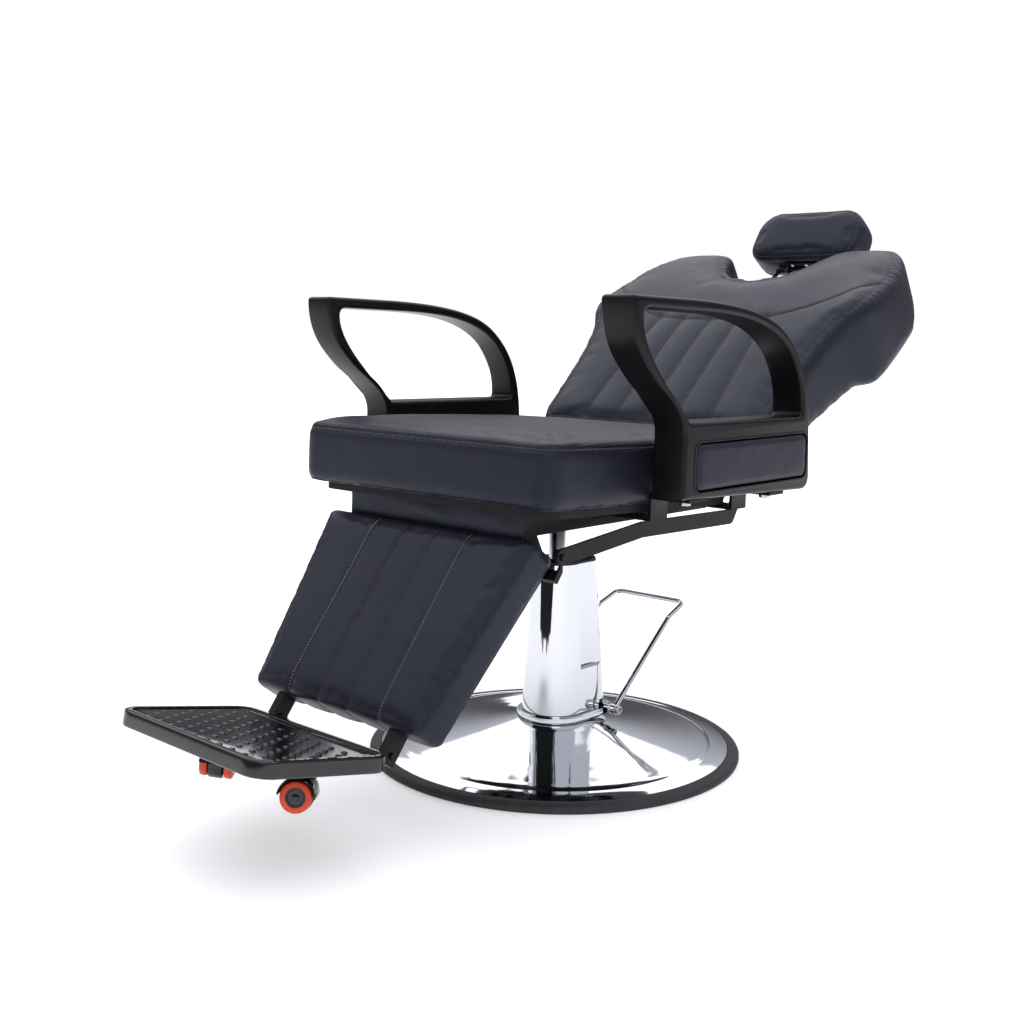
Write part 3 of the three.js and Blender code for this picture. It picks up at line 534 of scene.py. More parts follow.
class Skin:
    """A finished pad's surface, to find points on and lay threads on, in the pad's own millimetres."""

    def __init__(self, obj, matrix):
        self.matrix = matrix
        self.tree = BVHTree.FromPolygons(
            [v.co for v in obj.data.vertices], [p.vertices for p in obj.data.polygons]
        )

    def drop(self, start, direction):
        """The first surface point and its normal, from a start along a direction."""
        world = self.matrix @ (Vector(start) * MM)
        aim = (self.matrix.to_3x3() @ Vector(direction)).normalized()
        place, normal, _, _ = self.tree.ray_cast(world, aim, 1.0)
        if place is None:
            place, normal, _, _ = self.tree.find_nearest(world)
        back = self.matrix.inverted()
        return (back @ place) / MM, (back.to_3x3() @ normal).normalized()

    def lay(self, line, direction, step):
        """What drop finds from every step along a line."""
        return [self.drop(p, direction) for p in spread_points(line, step)]

    def thread(self, laid, radius, sink, name="thread"):
        """A continuous cord laid into a seam."""
        return pipe(name, [place - normal * sink for place, normal in laid], radius, self.matrix, sides=8)

    def stitches(self, laid, long, radius, lift):
        """A row of short thread bars, one for each pair of laid points."""
        bm = bmesh.new()
        for (place, normal), (after, _) in zip(laid, laid[1:]):
            run = after - place
            if run.length < 1e-4:
                continue
            along = run.normalized()
            side = along.cross(normal).normalized()
            up = side.cross(along)
            turn = Matrix((along, side, up)).transposed().to_4x4()
            middle = place.lerp(after, 0.5) + normal * lift
            made = bmesh.ops.create_icosphere(bm, subdivisions=1, radius=1.0)
            bmesh.ops.scale(bm, vec=(long / 2, radius, radius * 0.8), verts=made["verts"])
            bmesh.ops.transform(bm, matrix=Matrix.Translation(middle) @ turn, verts=made["verts"])
        return mesh_object("stitches", bm, self.matrix, crease=80)


def places(laid):
    """The points of a laid line, without their normals."""
    return [place for place, _ in laid]


def groove(obj, matrix, paths, depth, spread, pucker=0.25, pitch=13.0):
    """Pulls a pad in along seam paths, deepest at the seam, with small puckers beside it."""
    count = sum(len(p) for p in paths)
    tree = KDTree(count)
    along = []
    for path in paths:
        run = 0.0
        last = None
        for point in path:
            run += (point - last).length if last is not None else 0.0
            last = point
            tree.insert(point, len(along))
            along.append(run)
    tree.balance()

    def moves(local, normal):
        push = np.zeros(len(local))
        for i, place in enumerate(local):
            _, index, gap = tree.find(place)
            if gap < spread * 6:
                ripple = 1 + pucker * math.sin(along[index] * math.tau / pitch) * math.exp(-gap / (spread * 0.7))
                push[i] = depth * math.exp(-gap / spread) * ripple
        return -push[:, None] * normal

    shift(obj, matrix, moves)


def rumple(obj, matrix, height, size, seed):
    """Gives a pad slow uneven swells."""
    def moves(local, normal):
        return (waves(local, size, seed) * height)[:, None] * normal

    shift(obj, matrix, moves)


def combine(name, *objs):
    """Joins finished objects into one."""
    bm = bmesh.new()
    for obj in objs:
        bm.from_mesh(obj.data)
        bpy.data.objects.remove(obj)
    mesh = bpy.data.meshes.new(name)
    bm.to_mesh(mesh)
    bm.free()
    mesh.shade_smooth()
    mesh.set_sharp_from_angle(angle=math.radians(35))
    made = bpy.data.objects.new(name, mesh)
    bpy.context.scene.collection.objects.link(made)
    return made


def carve(obj, *cutters):
    """Cuts other objects out of one, and throws the cutters away."""
    for cutter in cutters:
        knife = obj.modifiers.new("Cut", "BOOLEAN")
        knife.operation = "DIFFERENCE"
        knife.solver = "EXACT"
        knife.object = cutter
        apply_modifiers(obj)
        bpy.data.objects.remove(cutter)
    obj.data.shade_smooth()
    obj.data.set_sharp_from_angle(angle=math.radians(35))
    return obj


def block(name, low, high, matrix=None, edge=0.0, segments=3):
    """A block between two corners in millimetres, with its edges rounded."""
    bm = bmesh.new()
    bmesh.ops.create_cube(bm, size=1.0)
    size = [b - a for a, b in zip(low, high)]
    bmesh.ops.scale(bm, vec=size, verts=bm.verts)
    bmesh.ops.translate(bm, vec=[(a + b) / 2 for a, b in zip(low, high)], verts=bm.verts)
    if edge:
        bmesh.ops.bevel(
            bm, geom=bm.edges[:], offset=edge, affect="EDGES", segments=segments, profile=0.5, material=-1,
        )
    return mesh_object(name, bm, matrix)


def turned(name, profile, steps=64, matrix=None):
    return mesh_object(name, lathe(profile, steps), matrix)


def along_x(x, y, z):
    """Places a turned piece with its axis along X."""
    return Matrix.Translation((x * MM, y * MM, z * MM)) @ Matrix.Rotation(math.pi / 2, 4, "Y")


def disc_profile(radius, low, high, edge):
    """The outline of a disc with rounded rims."""
    return [
        (0, low), (radius - edge, low), (radius - edge * 0.3, low + edge * 0.3), (radius, low + edge),
        (radius, high - edge), (radius - edge * 0.3, high - edge * 0.3), (radius - edge, high), (0, high),
    ]


def dress(look, *nodes):
    """Gives CAD nodes whose own shape is right their finish."""
    for name in nodes:
        obj = frame["nodes"][name]
        if not obj.data.materials:
            obj.data.materials.append(LOOKS[look])
        for place in obj.material_slots:
            place.link = "OBJECT"
            place.material = LOOKS[look]


def path_knots(start, steps):
    """Knots of a closed outline drawn with lines, quadratic and cubic curves."""
    start = Vector(start)
    knots = [[start, None, None]]
    here = start
    for step in steps:
        end = Vector(step[-1])
        if len(step) == 1:
            out, back = here.lerp(end, 0.333), here.lerp(end, 0.667)
        elif len(step) == 2:
            bend = Vector(step[0])
            out, back = here.lerp(bend, 2 / 3), end.lerp(bend, 2 / 3)
        else:
            out, back = Vector(step[0]), Vector(step[1])
        knots[-1][2] = out
        knots.append([end, back, None])
        here = end
    if (here - start).length < 1e-6:
        knots[0][1] = knots.pop()[1]
    else:
        knots[-1][2] = here.lerp(start, 0.333)
        knots[0][1] = here.lerp(start, 0.667)
    return knots


def knots_line(knots, steps=16):
    """Points along a closed outline."""
    out = []
    for (p, _, h), (q, g, _) in zip(knots, knots[1:] + knots[:1]):
        for i in range(steps):
            t = i / steps
            out.append(p * (1 - t) ** 3 + h * 3 * t * (1 - t) ** 2 + g * 3 * t * t * (1 - t) + q * t**3)
    return out


def inset_line(line, amount):
    """A closed line moved inwards, with points that would cross left out."""
    area = sum(a.x * b.y - b.x * a.y for a, b in zip(line, line[1:] + line[:1]))
    sign = 1 if area > 0 else -1
    out = []
    count = len(line)
    for i in range(count):
        run = line[(i + 2) % count] - line[i - 2]
        if run.length < 1e-6:
            continue
        side = Vector((-run.y, run.x)).normalized() * sign
        moved = line[i] + side * amount
        if min((moved - p).length for p in line) > abs(amount) * 0.93:
            out.append(moved)
    return out


# ---------------------------------------------------------------- sizes and colours
class ChairSettings(bpy.types.PropertyGroup):
    vinyl: bpy.props.FloatVectorProperty(
        name="Upholstery colour", description="Colour of the leatherette", subtype="COLOR",
        size=3, min=0, max=1, default=(0.0100, 0.0106, 0.0185),
    )
    chrome: bpy.props.FloatVectorProperty(
        name="Chrome tint", description="Colour of the bright plating", subtype="COLOR",
        size=3, min=0, max=1, default=(0.63, 0.64, 0.67),
    )
    seat_swell: bpy.props.FloatProperty(
        name="Seat swell", description="Most that the seat cushion swells", unit="LENGTH", default=0.008, min=0,
    )
    back_swell: bpy.props.FloatProperty(
        name="Back swell", description="Most that the back cushion swells", unit="LENGTH", default=0.007, min=0,
    )
    legrest_swell: bpy.props.FloatProperty(
        name="Legrest swell", description="Most that the legrest pad swells", unit="LENGTH", default=0.005, min=0,
    )
    stitch_pitch: bpy.props.FloatProperty(
        name="Stitch pitch", description="Length from one stitch to the next", unit="LENGTH",
        default=0.0055, min=0.002,
    )
    channel_depth: bpy.props.FloatProperty(
        name="Channel depth", description="How deep the sewn channels are", unit="LENGTH", default=0.0045, min=0,
    )


def settings():
    return bpy.context.scene.barber_chair


class Step:
    """What every building step shares."""

    bl_options = {"REGISTER"}

    def execute(self, context):
        self.build(context.scene.barber_chair)
        return {"FINISHED"}


# ---------------------------------------------------------------- base and column
def stadium(radius, rear):
    """A half circle at each end of a short straight, as outline knots."""
    k = 0.5523 * radius
    return [
        ((radius, 0), (radius, -k), (radius, rear * 0.33)),
        ((radius, rear), (radius, rear * 0.67), (radius, rear + k)),
        ((0, rear + radius), (k, rear + radius), (-k, rear + radius)),
        ((-radius, rear), (-radius, rear + k), (-radius, rear * 0.67)),
        ((-radius, 0), (-radius, rear * 0.33), (-radius, -k)),
        ((0, -radius), (-k, -radius), (k, -radius)),
    ]


def at_height(z):
    return Matrix.Translation((0, 0, z * MM))


def dome_height(r):
    """Height of the dome's skin at a radius."""
    radii = (58, 64, 72, 90, 120, 160, 200, 232, 247, 249.5, 253, 266, 280.7)
    heights = (54.5, 53, 51, 47, 41, 34, 27.4, 22.6, 20.5, 20.1, 18.3, 16.6, 13.8)
    return float(np.interp(r, radii, heights))


class CHAIR_OT_base(Step, bpy.types.Operator):
    """Base plate, rubber ring, chrome dome and the ring on top of it"""

    bl_idname = "chair.base"
    bl_label = "Base"

    def build(self, chair):
        dress("steel", "base_plate")
        ring = turned("base_ring", [
            (281.2, 0.4), (283, 0), (297, 0), (299.2, 1.2), (300, 3.4), (299.8, 7.2), (298.2, 10), (295.4, 12),
            (291, 13.3), (286, 13.9), (282.2, 13.8), (281.2, 13),
        ], 160)
        put(ring, "base", "rubber", ["base_rim"])
        radii = [31, 45, 58, 60, 64, 68, 72, 76] + list(range(80, 240, 5))
        radii += [240, 245, 247, 248, 249.5, 251, 253, 255, 260, 266, 272, 278, 280.2, 280.7]
        top = [(r, dome_height(r)) for r in radii]
        smooth = np.array([z for _, z in top])
        for _ in range(3):
            smooth[4:-10] = (smooth[3:-11] + smooth[4:-10] * 2 + smooth[5:-9]) / 4
        top = [(r, z) for (r, _), z in zip(top, smooth)]
        under = [(280.7, 11.4), (251, 16), (200, 23.3), (120, 35), (72, 46.5), (31, 52)]
        dome = turned("dome", top + under, 256)
        put(dome, "base", "chrome", ["base_dome"])
        collar = slab("collar", [stadium(61, 44), stadium(49, 44)], 10.9, 1.8, at_height(60.25))
        cutter = block("shaft_way", (-90, 51, 55.5), (90, 73, 80))
        put(carve(collar, cutter), "base", "chrome", ["column_collar"])


class CHAIR_OT_column(Step, bpy.types.Operator):
    """Tapered chrome cover with its two flats, its rubber lip, the pump and the lift rod"""

    bl_idname = "chair.column"
    bl_label = "Column"

    def cover(self):
        low, high, foot, head, rear = 66.0, 309.0, 53.0, 41.5, 44.0
        line = knots_line([tuple(Vector(p) for p in k) for k in stadium(foot, rear)], 14)
        bm = bmesh.new()
        verts = [bm.verts.new((p.x, p.y, low)) for p in line]
        edges = [bm.edges.new(pair) for pair in zip(verts, verts[1:] + verts[:1])]
        steps = 18
        for _ in range(steps):
            made = bmesh.ops.extrude_edge_only(bm, edges=edges)["geom"]
            edges = [g for g in made if isinstance(g, bmesh.types.BMEdge) and g.is_boundary]
            rise = [g for g in made if isinstance(g, bmesh.types.BMVert)]
            edges = [e for e in edges if all(v in rise for v in e.verts)]
            bmesh.ops.translate(bm, vec=(0, 0, (high - low) / steps), verts=rise)
        for axis, place in (((0, 0, 1), 138), ((0, 0, 1), 139.4), ((0, 0, 1), 79), ((0, 1, 0), 6), ((0, 1, 0), 7.2),
                            ((0, 1, 0), 51), ((0, 1, 0), 73), ((0, 1, 0), 60)):
            everything = bm.verts[:] + bm.edges[:] + bm.faces[:]
            bmesh.ops.bisect_plane(bm, geom=everything, dist=1e-4, plane_co=[c * place for c in axis], plane_no=axis)
        slot = [
            f for f in bm.faces
            if 51 < f.calc_center_median().y < 73 and f.calc_center_median().z < 79
            and abs(f.calc_center_median().x) > 30
        ]
        bmesh.ops.delete(bm, geom=slot, context="FACES")
        for v in bm.verts:
            scale = 1 + (head / foot - 1) * (v.co.z - low) / (high - low)
            v.co.x *= scale
            flat = v.co.z > 139 and v.co.y > 7
            v.co.y *= scale
            if flat and abs(v.co.x) > 40:
                v.co.x = math.copysign(40, v.co.x)
        return mesh_object("cover", bm, crease=40)

    def build(self, chair):
        cover = self.cover()
        wall = cover.modifiers.new("Wall", "SOLIDIFY")
        wall.thickness = 2.0 * MM
        wall.offset = -1
        apply_modifiers(cover)
        soften(cover, 0.5, 2, 50)
        put(cover, "base", "chrome", ["column_cover"])
        shrink = 41.5 / 53
        lip = slab("lip", [stadium(40.2, 44 * shrink), stadium(33, 44 * shrink)], 4.6, 1.6, at_height(310.9))
        sides = [block("side", (40.1, -60, 300), (60, 90, 320)), block("side", (-60, -60, 300), (-40.1, 90, 320))]
        put(carve(lip, *sides), "base", "rubber", ["cover_lip"])
        refine("steel", "base", 0.8, "pump_barrel")
        rod = turned("lift_rod", disc_profile(13.5, 96, 399, 1.2), 64)
        put(rod, "piston", "rod_steel", ["piston_rod"])
        socket = turned("socket", [
            (13.9, 378.6), (14.5, 378), (18.2, 378), (19, 378.8), (19, 388.6), (20.4, 390), (40.6, 391.8),
            (42, 393.2), (42, 403), (41.2, 403.7), (0, 403.7), (0, 399.3), (13.9, 399.3),
        ], 64)
        put(socket, "seat", "black_steel", ["seat_socket"])


class CHAIR_OT_pedal(Step, bpy.types.Operator):
    """Foot lever loop with its shaft, eyes and end bolts"""

    bl_idname = "chair.pedal"
    bl_label = "Foot lever"

    def build(self, chair):
        y, z = LEVER_SHAFT.y / MM, LEVER_SHAFT.z / MM
        loop = pipe("loop", rounded([
            (75, y + 4, z + 4), (75, 206, 196), (72, 254, 214.6), (-72, 254, 214.6), (-75, 206, 196),
            (-75, y + 4, z + 4),
        ], 15, 8), 4.6, sides=20)
        shaft = pipe("shaft", [(-75, y, z), (75, y, z)], 5.6, sides=20)
        eyes = [
            turned("eye", [
                (0, -7), (7.6, -7), (8.4, -6.2), (8.5, -5.2), (7.6, -4.4), (7.6, 4.4), (8.5, 5.2), (8.4, 6.2),
                (7.6, 7), (0, 7),
            ], 40, along_x(s * 75, y, z)) for s in (1, -1)
        ]
        put(combine("foot_lever", loop, shaft, *eyes), "pedal", "chrome", ["pump_lever"])
        for side, s in SIDES:
            bolt = turned("lever_bolt", [
                (0, 0), (7.0, 0), (7.5, 0.6), (7.5, 3.8), (6.4, 4.8), (4.2, 5), (3.4, 4.6), (3.2, 2.2), (0, 2.2),
            ], 30, along_x(s * 82.3, y, z) @ Matrix.Diagonal((1, 1, s, 1)))
            bolt.name = "lever_screw_" + side
            put(bolt, "pedal", "steel", ["lever_bolt_" + side])


# ---------------------------------------------------------------- seat
SEAT_WIDE, SEAT_LONG, SEAT_THICK = 496, 455, 88
EDGE_SEAM_Z, WELT_Z, REAR_SEAM_Y = 80.5, 5.0, 392
DOWN, INTO = (0, 0, -1), (0, 1, 0)


class CHAIR_OT_seat(Step, bpy.types.Operator):
    """Seat cushion with its sewn edge, corner darts and bottom welt"""

    bl_idname = "chair.seat"
    bl_label = "Seat"

    def build(self, chair):
        pad = slab(
            "seat_pad", [rect_knots(0, -4, SEAT_WIDE + 4, SEAT_LONG + 8, 22)], SEAT_THICK - 3, 7,
            SEAT @ Matrix.Translation((0, SEAT_LONG / 2 * MM, SEAT_THICK / 2 * MM)),
        )
        remesh(pad, 6, 2)
        swell(pad, 3.5)
        self.crown(pad)
        inflate(pad, chair.seat_swell / MM)
        iron(pad, 2)
        self.flatten_bottom(pad)
        subdivide(pad)
        skin = Skin(pad, SEAT)
        hoop = self.from_outside(skin, self.around(EDGE_SEAM_Z, 2.0))
        darts = [self.dart(skin, s) for s in (1, -1)]
        cross = skin.lay(self.rear_seam(), DOWN, 2.0)
        groove(pad, SEAT, [places(hoop)], 2.4, 3.4, 0.35)
        groove(pad, SEAT, [places(d) for d in darts + [cross]], 2.1, 3.6, 0.3)
        rumple(pad, SEAT, 0.9, 90, 3.0)
        rumple(pad, SEAT, 0.35, 28, 8.0)
        put(pad, "seat", "vinyl", ["seat_cushion"])
        self.sew(Skin(pad, SEAT), chair.stitch_pitch / MM)
        dress("lining", "seat_board")

    def sew(self, skin, pitch):
        """Threads in the seams, rows of stitches beside them, and the welt at the bottom."""
        parts = [
            skin.thread(self.from_outside(skin, self.around(EDGE_SEAM_Z, 2.0)), 1.2, 0.5),
            skin.thread(skin.lay(self.rear_seam(half=240), DOWN, 2.0), 1.1, 0.45),
        ]
        parts += [skin.thread(self.dart(skin, s), 1.1, 0.45) for s in (1, -1)]
        put(combine("seat_seams", *parts), "seat", "seam_dark")
        rows = [skin.stitches(self.from_outside(skin, self.around(EDGE_SEAM_Z + 5, pitch)), 3.6, 0.55, 0.1)]
        for s in (1, -1):
            rows += [skin.stitches(self.dart(skin, s, gap, pitch), 3.6, 0.55, 0.1) for gap in (-3.2, 3.2)]
        rows += [skin.stitches(skin.lay(self.rear_seam(gap), DOWN, pitch), 3.6, 0.5, 0.1) for gap in (-4, 4)]
        put(combine("seat_stitches", *rows), "seat", "seam_dark")
        wavy = []
        for i, p in enumerate(self.around(WELT_Z, 5)):
            wave = 1.6 * noise.noise(Vector((i * 0.11, 3.0, 0))) + 0.5 * math.sin(i * 0.9)
            wavy.append((p.x, p.y, WELT_Z - 2.5 + wave))
        welt = skin.thread(self.from_outside(skin, wavy), 2.0, 0.4, "seat_welt")
        put(welt, "seat", "vinyl")

    def crown(self, pad):
        """The top is fullest over the middle."""
        middle = SEAT_LONG / 2

        def moves(local, normal):
            over = (1 - (local[:, 0] / 250) ** 2) * (1 - ((local[:, 1] - middle) / (middle + 4)) ** 2)
            lift = 8 * np.clip(over, 0, 1) ** 0.6 * np.clip((local[:, 2] - 40) / 45, 0, 1)
            return np.stack([0 * lift, 0 * lift, lift], axis=1)

        shift(pad, SEAT, moves)

    def around(self, z, step):
        """Points round the pad at a height."""
        rim = knots_line(rect_knots(0, SEAT_LONG / 2, SEAT_WIDE, SEAT_LONG, 28), 8)
        return spread_points([(p.x, p.y, z) for p in rim + rim[:1]], step)

    def rear_seam(self, gap=0, half=236):
        """The line above the seam that crosses the rear of the top."""
        return [(x, REAR_SEAM_Y + gap, 200) for x in (-half, half)]

    def from_outside(self, skin, points):
        """The pad's side at each point's height, looked at from outside towards the pad's middle."""
        found = []
        for point in points:
            x, y, _ = point
            aim = Vector((max(-200, min(200, x)) * 0.92 - x, max(45, min(SEAT_LONG - 45, y)) - y, 0))
            if aim.length < 1:
                aim = Vector((-x, 0, 0))
            found.append(skin.drop(Vector(point) - aim.normalized() * 60, aim))
        return found

    def dart(self, skin, s, gap=0.0, step=2.0):
        """The short seam over a front corner, from the edge seam inwards."""
        foot = Vector((s * 236.5 + gap * 0.7, 11.5 + s * gap * 0.7))
        head = Vector((s * 200 + gap * 0.7, 44 + s * gap * 0.7))
        side = spread_points([(*foot, 76), (*foot, 84)], step)
        aim = Vector((-s, 1, -0.3))
        out = [skin.drop(p - aim * 40, aim) for p in side[:-1]]
        return out + skin.lay([(*foot, 150), (*head, 150)], DOWN, step)

    def flatten_bottom(self, pad):
        """The underside rests flat on its board."""
        local = in_frame(verts_of(pad), SEAT)
        local[:, 2] = np.maximum(local[:, 2], 1.5)
        set_verts(pad, out_of_frame(local, SEAT))


class CHAIR_OT_under_seat(Step, bpy.types.Operator):
    """Seat frame, arm brackets, hinges, lock strut and release handle"""

    bl_idname = "chair.under_seat"
    bl_label = "Seat frame"

    def build(self, chair):
        refine("black_steel", "seat", 1.0, "seat_frame")
        for where in ("front", "rear"):
            refine("black_steel", "seat", 0.8, "arm_bracket_" + where)
            refine("steel", "seat", 0.7, *(f"arm_bolt_{where}_{side}" for side, _ in SIDES))
        for side, _ in SIDES:
            refine("black_steel", "seat", 0.7, "hinge_ear_" + side)
            refine("steel", "seat", 0.8, "hinge_pin_" + side)
            refine("black_steel", "back", 0.7, "back_arm_" + side)
            refine("black_steel", "link_bar_" + side, 0.9, "link_" + side, segments=3)
        refine("steel", "strut", 0.6, "strut_cylinder")
        refine("chrome", "strut_shaft", 0.5, "strut_rod")
        bends = rounded([(-160, 30, 368), (-292, 30, 368), (-292, -30, 370)], 12, 6)
        handle = pipe("release_rod", bends, 4.5, sides=20)
        put(handle, "recline_handle", "black_steel", ["recline_lever"])
        ribs = [(r, z + d) for z in range(-25, 30, 10) for r, d in ((9, -2), (8.2, 0), (9, 2))]
        grip = turned("release_grip", [
            (5.2, -34), (7.6, -34), (9, -32), *ribs, (9, 28.5), (7.5, 30), (5.2, 30),
        ], 36, Matrix.Translation((-0.292, -0.0295, 0.3700)) @ Matrix.Rotation(math.radians(92), 4, "X"))
        put(grip, "recline_handle", "rubber", ["recline_grip"])


# ---------------------------------------------------------------- arms
ARM_OUTLINE = ((-123, 451.3), [
    ((192, 441),), ((211, 441), (211, 462)), ((206, 530),), ((202, 600), (176, 645), (128, 678)),
    ((85, 706), (10, 717), (-100, 721)), ((-236, 724),), ((-243.5, 724), (-243.5, 717)),
    ((-243.5, 665), (-216, 640), (-190, 616)), ((-165, 594), (-122, 575), (-121, 540)),
])
ARM_HOLE = ((-109, 556), [
    ((-150, 596), (-219, 650), (-219, 694)), ((-219, 707), (-204, 707)), ((-80, 704),),
    ((30, 701), (100, 688), (145, 648)), ((175, 615), (183, 590), (183, 562)), ((183, 553), (174, 553)),
])


PANEL_MIDDLE = (51, 493.5)


def side_plane(s, x):
    """Places a flat outline drawn in (y, z) at a distance out from the middle of the chair."""
    return Matrix(((0, 0, s, s * x * MM), (1, 0, 0, 0), (0, 1, 0, 0), (0, 0, 0, 1)))


class CHAIR_OT_arms(Step, bpy.types.Operator):
    """Moulded loop armrests with a padded panel let into the outside of each"""

    bl_idname = "chair.arms"
    bl_label = "Armrests"

    def build(self, chair):
        for side, s in SIDES:
            arm = slab(
                "armrest_" + side, [path_knots(*ARM_OUTLINE), path_knots(*ARM_HOLE)], 55, 5.5,
                side_plane(s, 299.5), steps=4,
            )
            recess = rect_knots(*PANEL_MIDDLE, 294, 68, 13)
            carve(arm, slab("recess", [recess], 20, 1.0, side_plane(s, 329)))
            rim = rect_knots(*PANEL_MIDDLE, 302, 76, 16)
            lip = slab("panel_frame_" + side, [rim, recess], 3.0, 1.2, side_plane(s, 326.6))
            put(arm, "seat", "arm", ["arm_" + side])
            put(lip, "seat", "arm")
            panel = slab("arm_pad_" + side, [rect_knots(*PANEL_MIDDLE, 291, 65, 12)], 9, 3, side_plane(s, 323.7))
            remesh(panel, 2.6, 3)
            inflate(panel, 1.8)
            rumple(panel, Matrix.Identity(4), 0.35, 30, 5.0 + s)
            subdivide(panel)
            put(panel, "seat", "vinyl", ["arm_panel_" + side])


# ---------------------------------------------------------------- back
BACK_OUTLINE = ((-205, 36), [
    ((205, 36),), ((228, 40), (232, 80)), ((236, 150), (238, 230), (262, 300)), ((280, 325), (292, 345), (291, 395)),
    ((290, 460), (278, 520), (245, 562)), ((215, 600), (155, 612), (126, 584)), ((106, 562), (104, 462), (0, 458)),
    ((-104, 462), (-106, 562), (-126, 584)), ((-155, 612), (-215, 600), (-245, 562)),
    ((-278, 520), (-290, 460), (-291, 395)), ((-292, 345), (-280, 325), (-262, 300)),
    ((-238, 230), (-236, 150), (-232, 80)), ((-228, 40), (-205, 36)),
])
YOKE = [(0, 306), (45, 306.5), (85, 308.5), (113, 313), (150, 325), (190, 346), (230, 377), (262, 408), (276, 424)]
# Each sewn channel's place across the back at its foot and head, and its lowest and highest point.
CHANNELS = [
    (0, 0, 50, 306), (61, 59, 50, 307), (-61, -59, 50, 307), (129, 113, 54, 313), (-129, -113, 54, 313),
]
AHEAD, FORWARD = -250, (0, -1, 0)


class CHAIR_OT_back(Step, bpy.types.Operator):
    """Back cushion with sewn channels, curved yoke and shoulder wings"""

    bl_idname = "chair.back"
    bl_label = "Back"

    def build(self, chair):
        pad = copy_node("back_cushion", "back_pad")
        remesh(pad, 6.5, 3)
        self.wings(pad)
        remesh(pad, 6.5, 5)
        swell(pad, 5.5)
        inflate(pad, chair.back_swell / MM)
        iron(pad, 4)
        subdivide(pad)
        skin = Skin(pad, BACK)
        channels = []
        for foot, head, low, high in CHANNELS:
            line = [(foot, AHEAD, low), (foot * 0.9 + head * 0.1, AHEAD, 120), (head, AHEAD, high)]
            channels.append(places(skin.lay(line, INTO, 2)))
        yoke = places(skin.lay(self.yoke_line(0), INTO, 2))
        border = places(skin.lay(self.border_line(12), INTO, 2))
        rear = places(skin.lay(self.border_line(9, 300), FORWARD, 2))
        groove(pad, BACK, channels, chair.channel_depth / MM, 13.0, 0.03, 26)
        groove(pad, BACK, channels, 2.2, 2.2, 0.0)
        groove(pad, BACK, [yoke], 2.4, 3.6, 0.25)
        groove(pad, BACK, [border], 1.8, 3.4, 0.12)
        groove(pad, BACK, [rear], 1.7, 3.4, 0.12)
        rumple(pad, BACK, 1.1, 130, 2.0)
        rumple(pad, BACK, 0.25, 34, 6.0)
        put(pad, "back", "vinyl", ["back_cushion"])
        self.sew(Skin(pad, BACK), channels, chair.stitch_pitch / MM)
        refine("black_steel", "back", 1.0, "back_board")
        refine("black_steel", "back", 1.2, "headrest_guide")

    def sew(self, skin, channels, pitch):
        """Threads in the channels and seams, and rows of stitches beside the yoke and the border."""
        threads = [
            skin.thread([skin.drop((p.x, AHEAD, p.z), INTO) for p in path], 1.2, 0.4) for path in channels
        ]
        threads.append(skin.thread(skin.lay(self.yoke_line(0), INTO, 2), 1.0, 0.4))
        threads.append(skin.thread(skin.lay(self.border_line(12), INTO, 3), 0.9, 0.35))
        threads.append(skin.thread(skin.lay(self.border_line(9, 300), FORWARD, 3), 0.9, 0.3))
        put(combine("back_seams", *threads), "back", "seam_dark")
        lines = [self.yoke_line(-3.6), self.yoke_line(3.6), self.border_line(17)]
        rows = [skin.stitches(skin.lay(line, INTO, pitch), 3.6, 0.5, 0.1) for line in lines]
        put(combine("back_stitches", *rows), "back", "seam_dark")

    def wings(self, pad):
        """The shoulder wings stand further forward than the middle, and are thinner at their edges."""
        def moves(local, normal):
            side = np.clip((np.abs(local[:, 0]) - 150) / 130, 0, 1)
            edge = np.clip((np.abs(local[:, 0]) - 205) / 90, 0, 1.1)
            thin = np.clip(local[:, 1] + 46 * edge**2 - 82, 0, 60)
            height = np.clip(1 - np.abs(local[:, 2] - 345) / 130, 0, 1)
            front = np.clip((-normal[:, 1] + 0.2) / 0.8, 0, 1)
            push = 12 * side**2 * height * height * (3 - 2 * height) * front + thin
            return np.stack([0 * push, -push, 0 * push], axis=1)

        shift(pad, BACK, moves)

    def yoke_line(self, gap):
        """The curved seam under the shoulders, or a line beside it."""
        half = [Vector((x, AHEAD, z + gap)) for x, z in YOKE]
        return [Vector((-p.x, p.y, p.z)) for p in reversed(half[1:])] + half

    def border_line(self, amount, y=AHEAD):
        """The cushion's outline, moved inwards."""
        line = inset_line(knots_line(path_knots(*BACK_OUTLINE), 10), amount)
        loop = [Vector((p.x, y, p.y)) for p in line]
        return loop + [loop[0]]


# ---------------------------------------------------------------- headrest
HEAD_MIDDLE = 67
HEAD_CORNERS = (34, 34, 46, 46)


